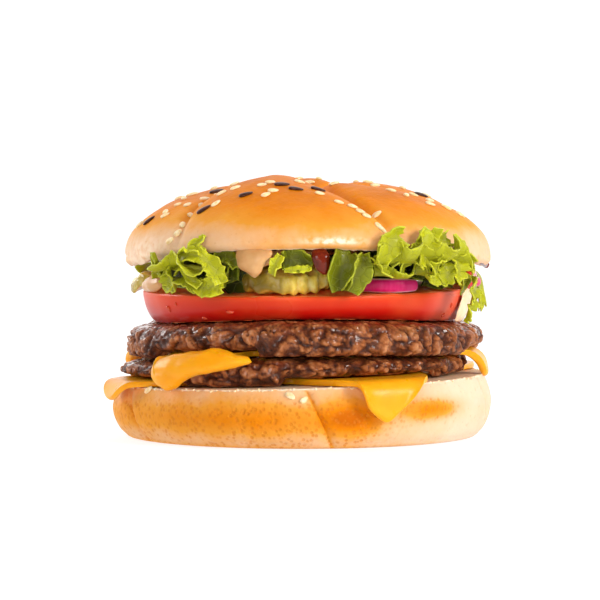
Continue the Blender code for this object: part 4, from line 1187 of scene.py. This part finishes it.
def waving_line(leaf, turn, columns, outer):
    """(along, up) at each column of a line whose heading swings by up to turn radians, for a length of 1."""
    fine = 3
    x = z = 0.0
    points = [(x, z)]
    for step in range(columns * fine):
        phase = 2.0 * math.pi * (leaf.folds * (step + 0.5) / (columns * fine) + leaf.phase)
        heading = turn * (math.sin(phase) + SECOND_WAVE * math.sin(SECOND_WAVE_COUNT * phase + 1.0))
        for swing, count, start, power in FRILLS:
            heading += swing * outer ** power * math.sin(count * phase + start + 1.3 * math.sin(0.7 * phase))
        x += math.cos(heading)
        z += math.sin(heading)
        if (step + 1) % fine == 0:
            points.append((x, z))
    return [(px / x, (pz - z * index / columns) / x) for index, (px, pz) in enumerate(points)]


def leaf_lip(leaf, azimuth):
    """(radius, height) where a leaf starts to ruffle."""
    if leaf.lip:
        return leaf.lip
    radius = crown_radius(azimuth)
    foot = polar(azimuth, radius, 0.0, CROWN_X)
    return radius + GAP + LEAF_THICKNESS, min(leaf.root[1], under_crown(foot.x, foot.y) - LEAF_LIP_ROOM)


def clear_inside(point, azimuth):
    """Keeps a leaf between the tomato and the crown's underside."""
    room = GAP + LEAF_THICKNESS
    if math.hypot(point.x - CROWN_X, point.y) < crown_radius(azimuth) + GAP:
        point.z = min(point.z, under_crown(point.x, point.y) - room)
    if math.hypot(point.x - TOMATO_X, point.y) < tomato_radius(azimuth) + 2 * GAP:
        point.z = max(point.z, tomato_top(point.x, point.y) + room)
    return point


def tooth(place):
    """Pointed teeth of uneven length along a margin, from 0 to 1."""
    wander = place + 0.35 * math.sin(place * 1.7) + 0.2 * math.sin(place * 4.1)
    saw = abs(2.0 * (wander % 1.0) - 1.0)
    return saw * (0.45 + 0.55 * abs(math.sin(place * 0.9 + 0.5)))


def leaf_point(leaf, lines, columns, rows, column, row):
    across, up = lines[row][column]
    azimuth = mix(leaf.first, leaf.last, across)
    wave = up * math.radians(leaf.last - leaf.first) * CROWN_RADIUS
    lip_radius, lip_z = leaf_lip(leaf, azimuth)
    share = row / rows
    if share <= LEAF_LIP_SHARE:
        inner = share / LEAF_LIP_SHARE
        radius, z = mix(leaf.root[0], lip_radius, inner), mix(leaf.root[1], lip_z, inner)
        return clear_inside(polar(azimuth, radius, z + wave, CROWN_X), azimuth)
    outer = (share - LEAF_LIP_SHARE) / (1.0 - LEAF_LIP_SHARE)
    teeth = tooth(column / columns * leaf.folds * TOOTH_COUNT) - 0.4
    longer = outer * (1.0 + TOOTH_LENGTH * teeth * smooth(0.55, 1.0, outer))
    reach, fall = along(leaf.reach, column / columns), along(leaf.height, column / columns) - lip_z
    steep = math.atan2(fall, reach) * outer ** 0.5
    radius = lip_radius + reach * (1.0 - max(0.0, 1.0 - longer) ** LEAF_CURL) - wave * math.sin(steep)
    z = lip_z + fall * longer ** LEAF_CURL + wave * math.cos(steep)
    point = polar(azimuth, radius, z, CROWN_X)
    point += noise.noise_vector(point / 0.006) * 0.0010 * outer
    if leaf.lip and point.z > under_crown(point.x, point.y) - GAP - LEAF_THICKNESS:
        return clear_inside(point, azimuth)
    least = (tomato_radius(azimuth) if leaf.lip else crown_radius(azimuth)) + GAP + LEAF_THICKNESS
    flat = math.hypot(point.x - CROWN_X, point.y)
    if flat < least:
        stretch = least / flat
        point.x, point.y = CROWN_X + (point.x - CROWN_X) * stretch, point.y * stretch
    return point


def leaf_turn(leaf, share):
    """How far the leaf's line swings at a share of the way out."""
    if share <= LEAF_LIP_SHARE:
        return LEAF_LIP_TURN
    return mix(LEAF_LIP_TURN, leaf.turn, ((share - LEAF_LIP_SHARE) / (1.0 - LEAF_LIP_SHARE)) ** 0.7)


def add_leaf(name, material):
    leaf = LEAVES[name]
    columns = round((leaf.last - leaf.first) * 7.0 * FINE)
    rows = round(36 * FINE)
    lines = []
    for row in range(rows + 1):
        outer = max(0.0, (row / rows - LEAF_LIP_SHARE) / (1.0 - LEAF_LIP_SHARE))
        lines.append(waving_line(leaf, leaf_turn(leaf, row / rows), columns, outer))

    def place(across, out):
        return leaf_point(leaf, lines, columns, rows, round(across * columns), round(out * rows))

    piece = sheet_piece(name.replace("lettuce", "leaf"), columns, rows, place, LEAF_THICKNESS * 0.8, leaf.tone,
                        material)
    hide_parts(name)


def add_inner_leaf(name, material):
    """A crumpled leaf that fills the middle between the tomato and the crown."""
    middle_x, middle_y, half_x, half_y, waves, slant = INNER_LEAF

    def place(across, out):
        u, v = 2.0 * across - 1.0, 2.0 * out - 1.0
        x = middle_x + half_x * u * math.sqrt(1.0 - v * v / 2.0)
        y = middle_y + half_y * v * math.sqrt(1.0 - u * u / 2.0)
        low = tomato_top(x, y) + GAP + LEAF_THICKNESS
        high = under_crown(x, y) - SAUCE_THICKNESS - 3 * GAP - LEAF_THICKNESS
        wave = math.sin(math.pi * waves * v + slant * math.sin(3.0 * u + 0.4))
        point = Vector((x, y, mix(low, high, 0.5 + 0.44 * wave)))
        return point + noise.noise_vector(point / 0.007) * 0.0006

    # tone 0.95: dark green, partly painted shade for the leaf in the shadow between the tomato and the crown
    piece = sheet_piece(name.replace("lettuce", "leaf"), 70, 40, place, LEAF_THICKNESS, 0.95, material)
    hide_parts(name)


def seen_at(across, down, radius):
    """The point on a pixel's line of sight that far from the crown's axis, on the near side."""
    eye, sight, _ = picture_ray(across, down)
    y = -radius
    for _ in range(4):
        spot = eye + sight * ((y - eye.y) / sight.y)
        y = -math.sqrt(max(radius ** 2 - (spot.x - CROWN_X) ** 2, 0.0))
    return eye + sight * ((y - eye.y) / sight.y)


def frond_grid(frond, columns, rows, number):
    """Points and margin mask of one frond, rows running from its foot to its tip."""
    spine = [seen_at(*spot) for spot in frond.spine]
    coordinates = [tuple(spot) for spot in spine]
    points, margins = [], []
    for row in range(rows + 1):
        share = row / rows
        here = Vector(on_profile(coordinates, share))
        ahead = (Vector(on_profile(coordinates, share + 0.02)) - Vector(on_profile(coordinates, share - 0.02)))
        ahead.normalize()
        outward = Vector((here.x - CROWN_X, here.y, 0.0)).normalized()
        side = ahead.cross(outward).normalized()
        outward = side.cross(ahead).normalized()
        turned = math.radians(frond.lean + 25.0 * math.sin(2.2 * share + number))
        side, outward = (side * math.cos(turned) + outward * math.sin(turned),
                         outward * math.cos(turned) - side * math.sin(turned))
        width = FROND_WIDER * along(frond.widths, share)
        for column in range(columns + 1):
            across = 2.0 * column / columns - 1.0
            edge = max(abs(across), smooth(0.75, 1.0, share))
            phase = 2.0 * math.pi * frond.frills * (share + 0.13 * number) + (1.7 if across > 0 else 0.0)
            frill = math.sin(phase) + 0.45 * math.sin(2.1 * phase + number) + 0.10 * math.sin(5.1 * phase)
            teeth = 1.0 + 0.26 * (tooth(share * frond.frills * 1.9 + number) - 0.4) * smooth(0.4, 1.0, edge)
            point = here + side * across * width * teeth + outward * (across ** 2 - 0.4) * frond.cup
            point += (outward + 0.5 * ahead) * frill * 0.38 * width * edge ** 2.2
            point += noise.noise_vector(point / 0.0035) * 0.0005 * edge
            points.append(point)
            margins.append(edge)
    return points, margins


def add_fronds(material):
    columns, rows = round(36 * FINE), round(90 * FINE)
    points, faces, margins, tones = [], [], [], []
    for number, frond in enumerate(FRONDS):
        faces += grid_faces(columns, rows, len(points))
        new_points, new_margins = frond_grid(frond, columns, rows, number)
        points += new_points
        margins += new_margins
        tones += [frond.tone] * len(new_points)
    piece = new_piece("leaf_frills", points, faces, {"margin": margins, "tone": tones}, material)
    thicken(piece, FROND_THICKNESS)


# Sauces

def add_cream_layer(material):
    """The sauce spread under the crown, with a tongue that runs out and down at the front."""
    azimuth_at, half_width, tongue_radius, tongue_z = SAUCE_TONGUE

    def place(azimuth, share):
        tongue = hump(apart(azimuth, azimuth_at), half_width)
        tongue = smooth(0.10, 0.85, tongue) * (1.0 + 0.05 * math.sin(math.radians(azimuth * 31)))
        edge = mix(SAUCE_RADIUS * (1.0 + 0.05 * math.cos(math.radians(4 * azimuth))), tongue_radius, tongue)
        radius = edge * math.sin(math.pi * share) ** 0.7
        point = polar(azimuth, radius, 0.0, CROWN_X)
        top = under_crown(point.x, point.y) - 2 * GAP
        ragged = 0.0009 * math.sin(math.radians(azimuth * 23))
        low = mix(top - SAUCE_THICKNESS, tongue_z + ragged, tongue * smooth(0.87, 0.93, radius / edge))
        rounded = 1.0 - smooth(mix(0.93, 0.975, tongue), 1.0, radius / edge)
        middle = mix(top, low, 0.45)
        point.z = mix(middle, top if share <= 0.5 else low, rounded)
        return point, {}

    piece = round_piece("cream_layer", 260, stepped((0.0, 0.25, 0.75, 1.0), (6, 40, 6)), place, material)
    press_relief(piece, lambda point, normal: (0.00025 * lumps(point, 0.004, 81), {}))
    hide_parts("sauce_cream")


def add_smear(name, node, rows, depth, material):
    """A rounded smear where the photograph shows it, in place of a solid where node names one."""

    def place(turn, share):
        down, left, right, radius = on_profile(rows, share)
        ring = math.sin(math.pi * share) ** 0.35
        angle = math.radians(turn)
        spot = seen_at(0.5 * (left + right) + 0.5 * (right - left) * ring * math.sin(angle), down, radius)
        outward = Vector((spot.x - CROWN_X, spot.y, 0.0)).normalized()
        stand = depth * ring * math.cos(angle) * (1.0 if math.cos(angle) > 0 else 0.3)
        return spot + outward * stand, {}

    piece = round_piece(name, 64, stepped((0.0, 1.0), (60,)), place, material)

    def relief(point, normal):
        return 0.00035 * lumps(point, 0.0042, 83) + 0.00012 * lumps(point, 0.0018, 85), {}

    press_relief(piece, relief)
    if node:
        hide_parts(node)


# Seeds, crumbs and drops

def camera_axes():
    """(ahead, upward, eye): the camera's directions and where it stands."""
    lift = math.radians(CAMERA_ELEVATION)
    ahead = Vector((0.0, math.cos(lift), -math.sin(lift)))
    return ahead, Vector((0.0, math.sin(lift), math.cos(lift))), CAMERA_TARGET - ahead * CAMERA_DISTANCE


def picture_ray(across, down):
    """(eye, direction, upward) of the camera's line of sight through a pixel of the photograph."""
    _, upward, eye = camera_axes()
    spot = CAMERA_TARGET + Vector((1.0, 0.0, 0.0)) * (across - PICTURE / 2) * PIXEL
    spot += upward * (PICTURE / 2 - down) * PIXEL
    return eye, (spot - eye).normalized(), upward


def find_spot(tree, across, down):
    """Where the line of sight through a pixel meets a surface, or the nearest such place just below it."""
    for lower in range(24):
        eye, sight, _ = picture_ray(across, down + 0.5 * lower)
        point, normal, _, _ = tree.ray_cast(eye, sight)
        if point is not None:
            return point, normal
    return None, None


def seed_shape(length, width, height, point_sharpness, columns=14, rows=10):
    """Points and faces of one seed lying along X: round at one end and pointed at the other."""
    points = [Vector((-length / 2, 0.0, 0.0))]
    for row in range(1, rows):
        along_seed = row / rows
        x = -math.cos(math.pi * along_seed) * length / 2
        ring = math.sin(math.pi * along_seed) ** 0.85 * (1.0 - point_sharpness * (along_seed - 0.35))
        for column in range(columns):
            turn = 2.0 * math.pi * column / columns
            points.append(Vector((x, math.cos(turn) * ring * width / 2, math.sin(turn) * ring * height / 2)))
    points.append(Vector((length / 2, 0.0, 0.0)))
    faces = [(0, 1 + (column + 1) % columns, 1 + column) for column in range(columns)]
    for row in range(rows - 2):
        first, second = 1 + row * columns, 1 + (row + 1) * columns
        for column in range(columns):
            following = (column + 1) % columns
            faces.append((first + column, first + following, second + following, second + column))
    foot, last = 1 + (rows - 2) * columns, len(points) - 1
    faces += [(foot + column, foot + (column + 1) % columns, last) for column in range(columns)]
    return points, faces


def lay_out(name, spots, shape, sink, material):
    """One mesh of many seeds: each spot is (point, normal, direction along the seed, size)."""
    shape_points, shape_faces = shape
    points, faces = [], []
    for point, normal, direction, size in spots:
        side = normal.cross(direction).normalized()
        ahead = side.cross(normal).normalized()
        frame = Matrix((ahead, side, normal)).transposed()
        start = len(points)
        points += [point + normal * sink + frame @ (one * size) for one in shape_points]
        faces += [tuple(start + index for index in face) for face in shape_faces]
    return new_piece(name, points, faces, {}, material)


def picture_spots(tree, seeds, draw):
    spots = []
    for across, down, turn in seeds:
        point, normal = find_spot(tree, across, down)
        if point is None:
            continue
        _, _, upward = picture_ray(across, down)
        angle = math.radians(turn)
        direction = Vector((1.0, 0.0, 0.0)) * math.cos(angle) + upward * math.sin(angle)
        spots.append((point, normal, direction, draw.uniform(0.94, 1.06)))
    return spots


def scattered_spots(tree, scatter, draw, taken):
    """Spots out of the photograph's sight, round the knot and caught in its seams, clear of those taken."""
    count, in_seams = scatter
    spots = []
    while len(spots) < count:
        if draw.random() < in_seams:
            seam, twist, _ = draw.choice(CROWN_LOBES)
            out = draw.uniform(0.25, 0.92)
            azimuth = seam + twist * (1.0 - out) ** 1.2 + draw.gauss(0.0, 2.0)
        else:
            out = math.sqrt(draw.uniform(0.0, 0.75))
            azimuth = draw.uniform(-180.0, 180.0)
        above = polar(azimuth, out * CROWN_RADIUS, 0.12, CROWN_X)
        point, normal, _, _ = tree.ray_cast(above, Vector((0.0, 0.0, -1.0)))
        if point is None or point.y < -0.012 - 0.5 * abs(point.x) or normal.z < 0.3:
            continue
        if any((point - other[0]).length < SEED_ROOM for other in taken + spots):
            continue
        turn = draw.uniform(0.0, math.pi)
        spots.append((point, normal, Vector((math.cos(turn), math.sin(turn), 0.0)), draw.uniform(0.9, 1.08)))
    return spots


def surface_tree(piece):
    mesh = piece.data
    corners = [list(face.vertices) for face in mesh.polygons]
    return BVHTree.FromPolygons([vertex.co for vertex in mesh.vertices], corners)


def add_seeds(crown, heel):
    draw = random.Random(5)
    white_shape, dark_shape = seed_shape(*WHITE_SEED), seed_shape(*DARK_SEED)
    crown_tree, heel_tree = surface_tree(crown), surface_tree(heel)
    white = picture_spots(crown_tree, WHITE_SEEDS, draw)
    dark = picture_spots(crown_tree, DARK_SEEDS, draw)
    dark += scattered_spots(crown_tree, DARK_SCATTER, draw, white + dark)
    white += scattered_spots(crown_tree, WHITE_SCATTER, draw, white + dark)
    white += picture_spots(heel_tree, HEEL_SEEDS, draw)
    white_look = seed_look("seed_white", (0.80, 0.56, 0.26), (0.92, 0.78, 0.52), 0.35, 0.4)
    dark_look = seed_look("seed_dark", (0.022, 0.005, 0.002), (0.075, 0.018, 0.007), 0.30, 0.0)
    lay_out("seeds_white", white, white_shape, 0.0002, white_look)
    lay_out("seeds_dark", dark, dark_shape, 0.0003, dark_look)


def add_crumbs(material):
    """Fine crumbs along the heel's cut edge."""
    draw = random.Random(9)
    spots = []
    for _ in range(CRUMB_COUNT):
        azimuth = draw.uniform(-180.0, 180.0)
        direction = Vector((draw.uniform(-1, 1), draw.uniform(-1, 1), draw.uniform(-1, 1)))
        point = heel_point(azimuth, (3.0 + draw.uniform(0.0, 0.55)) / 11)
        normal = (polar(azimuth, 1.0, 0.0) + Vector((0.0, 0.0, draw.uniform(0.5, 2.0)))).normalized()
        spots.append((point, normal, direction, draw.uniform(0.5, 1.5)))
    crumbs = lay_out("crumbs", spots, seed_shape(*CRUMB, columns=7, rows=5), 0.0, material)


def add_drops(tomato):
    """Drops of juice on the tomato's side, where the photograph shows them."""
    draw = random.Random(3)
    spots = [(point, normal, direction, draw.uniform(0.7, 1.3))
             for point, normal, direction, _ in picture_spots(surface_tree(tomato), JUICE_DROPS, draw)]
    drops = lay_out("juice_drops", spots, seed_shape(*JUICE_DROP), 0.0001, drop_look("juice"))


# Camera, light and floor

def aim(thing, location, direction):
    """Places a lamp or camera and turns it to look along a direction."""
    thing.location = location
    thing.rotation_mode = "QUATERNION"
    thing.rotation_quaternion = direction.to_track_quat("-Z", "Y")


def add_lamp(name, location, size, power, colour):
    data = bpy.data.lights.new(name, "AREA")
    data.shape, data.size, data.energy, data.color = "DISK", size, power, colour
    aim(add_object(name, data), location, Vector(LIT_PLACE) - Vector(location))


def add_plane(name, corners, material):
    mesh = bpy.data.meshes.new(name)
    mesh.from_pydata(corners, [], [(0, 1, 2, 3)])
    mesh.materials.append(material)
    plane = add_object(name, mesh)


def add_studio():
    scene = bpy.context.scene
    scene.view_settings.view_transform = "Standard"
    scene.view_settings.look = "None"
    world = bpy.data.worlds.new("studio")
    world.use_nodes = True
    background = world.node_tree.nodes["Background"]
    background.inputs["Color"].default_value = rgb(1.0, 1.0, 1.0)
    background.inputs["Strength"].default_value = WORLD_LIGHT
    scene.world = world
    paper = Look("floor_paper")
    paper.set(Base_Color=rgb(0.30, 0.30, 0.30), Roughness=0.8, Specular_IOR_Level=0.1,
              Emission_Color=rgb(1.0, 1.0, 1.0), Emission_Strength=0.78)
    reach, back, top = FLOOR_REACH, BACKDROP_Y, BACKDROP_HEIGHT
    left, right = (-reach, back, 0), (reach, back, 0)
    add_plane("floor", [(-reach, -reach, 0), (reach, -reach, 0), right, left], paper.material)
    glow = Look("backdrop_paper")
    glow.set(Base_Color=rgb(0.9, 0.9, 0.9), Roughness=0.9,
             Emission_Color=rgb(1.0, 1.0, 1.0), Emission_Strength=1.1)
    add_plane("backdrop", [left, right, (reach, back, top), (-reach, back, top)], glow.material)
    for lamp in LAMPS:
        add_lamp(*lamp)

    camera = add_object("camera", bpy.data.cameras.new("camera"))
    ahead, _, eye = camera_axes()
    aim(camera, eye, ahead)
    camera.data.sensor_width = SENSOR_WIDTH
    camera.data.lens = SENSOR_WIDTH * CAMERA_DISTANCE / (PICTURE * PIXEL)
    camera.data.clip_start, camera.data.clip_end = 0.05, 20.0
    bpy.context.scene.camera = camera


def build_looks():
    heel, crown = add_heel(), add_crown()
    beef, cheese = beef_look("beef"), cheese_look("cheese")
    over_cheese = CHEESE_THICKNESS + 2 * GAP
    add_cheese("cheese_slice_lower", "cheese_lower", LOWER_CHEESE, 0.0,
               lambda azimuth: heel_radius(azimuth) - 0.0006, above(HEEL_TOP, GAP), cheese)
    add_cheese("cheese_slice_upper", "cheese_upper", UPPER_CHEESE, LOWER_PATTY_X,
               lambda azimuth: LOWER_PATTY_RADIUS - 0.0006, above(LOWER_PATTY_TOP, GAP), cheese)
    add_patty("patty_meat_lower", "patty_lower", LOWER_PATTY_X, LOWER_PATTY_RADIUS, above(HEEL_TOP, over_cheese),
              LOWER_PATTY_TOP, 3, LOWER_CHEESE, 0.0, beef)
    add_patty("patty_meat_upper", "patty_upper", UPPER_PATTY_X, UPPER_PATTY_RADIUS,
              above(LOWER_PATTY_TOP, over_cheese), UPPER_PATTY_TOP, 11, UPPER_CHEESE, LOWER_PATTY_X, beef)
    tomato = add_tomato()
    pickle, onion, lettuce = pickle_look("pickle"), onion_look("onion"), lettuce_look("lettuce")
    for name in PICKLES:
        add_pickle(name, pickle)
    for name in ONIONS:
        add_onion(name, onion)
    for name in LEAVES:
        add_leaf(name, lettuce)
    add_inner_leaf("lettuce_inner", lettuce)
    add_fronds(lettuce)
    # Two copies of one cream sauce: the first is darkened, painted shade for the sauce under the crown and the
    # blob at the left; the second is the paler lit copy for the drip at the right
    cream = sauce_look("cream_sauce", (0.53, 0.26, 0.090), (0.62, 0.35, 0.145), 0.28)
    pale_cream = sauce_look("cream_sauce_lit", (0.86, 0.58, 0.36), (0.92, 0.68, 0.46), 0.28)
    ketchup = sauce_look("ketchup", (0.10, 0.010, 0.002), (0.17, 0.014, 0.003), 0.15)
    bright = sauce_look("ketchup_bright", (0.50, 0.008, 0.004), (0.62, 0.016, 0.006), 0.15)
    add_cream_layer(cream)
    add_smear("cream_tongue", None, CREAM_TONGUE, 0.0018, cream)
    add_smear("cream_drip_right", "sauce_drip_right", CREAM_RIGHT, 0.0014, pale_cream)
    add_smear("cream_blob_left", "sauce_blob_left", CREAM_LEFT, 0.0016, cream)
    add_smear("ketchup_drip_right", "ketchup_right", KETCHUP_RIGHT, 0.0016, bright)
    add_smear("ketchup_drip_front", "ketchup_front", KETCHUP_FRONT, 0.0012, ketchup)
    add_smear("ketchup_line", None, KETCHUP_LINE, 0.0008, ketchup)
    add_smear("cheese_pool", None, CHEESE_BLOB, 0.0040, cheese)
    add_seeds(crown, heel)
    add_crumbs(crumb_look("crumb"))
    add_drops(tomato)


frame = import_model()
add_studio()
build_looks()
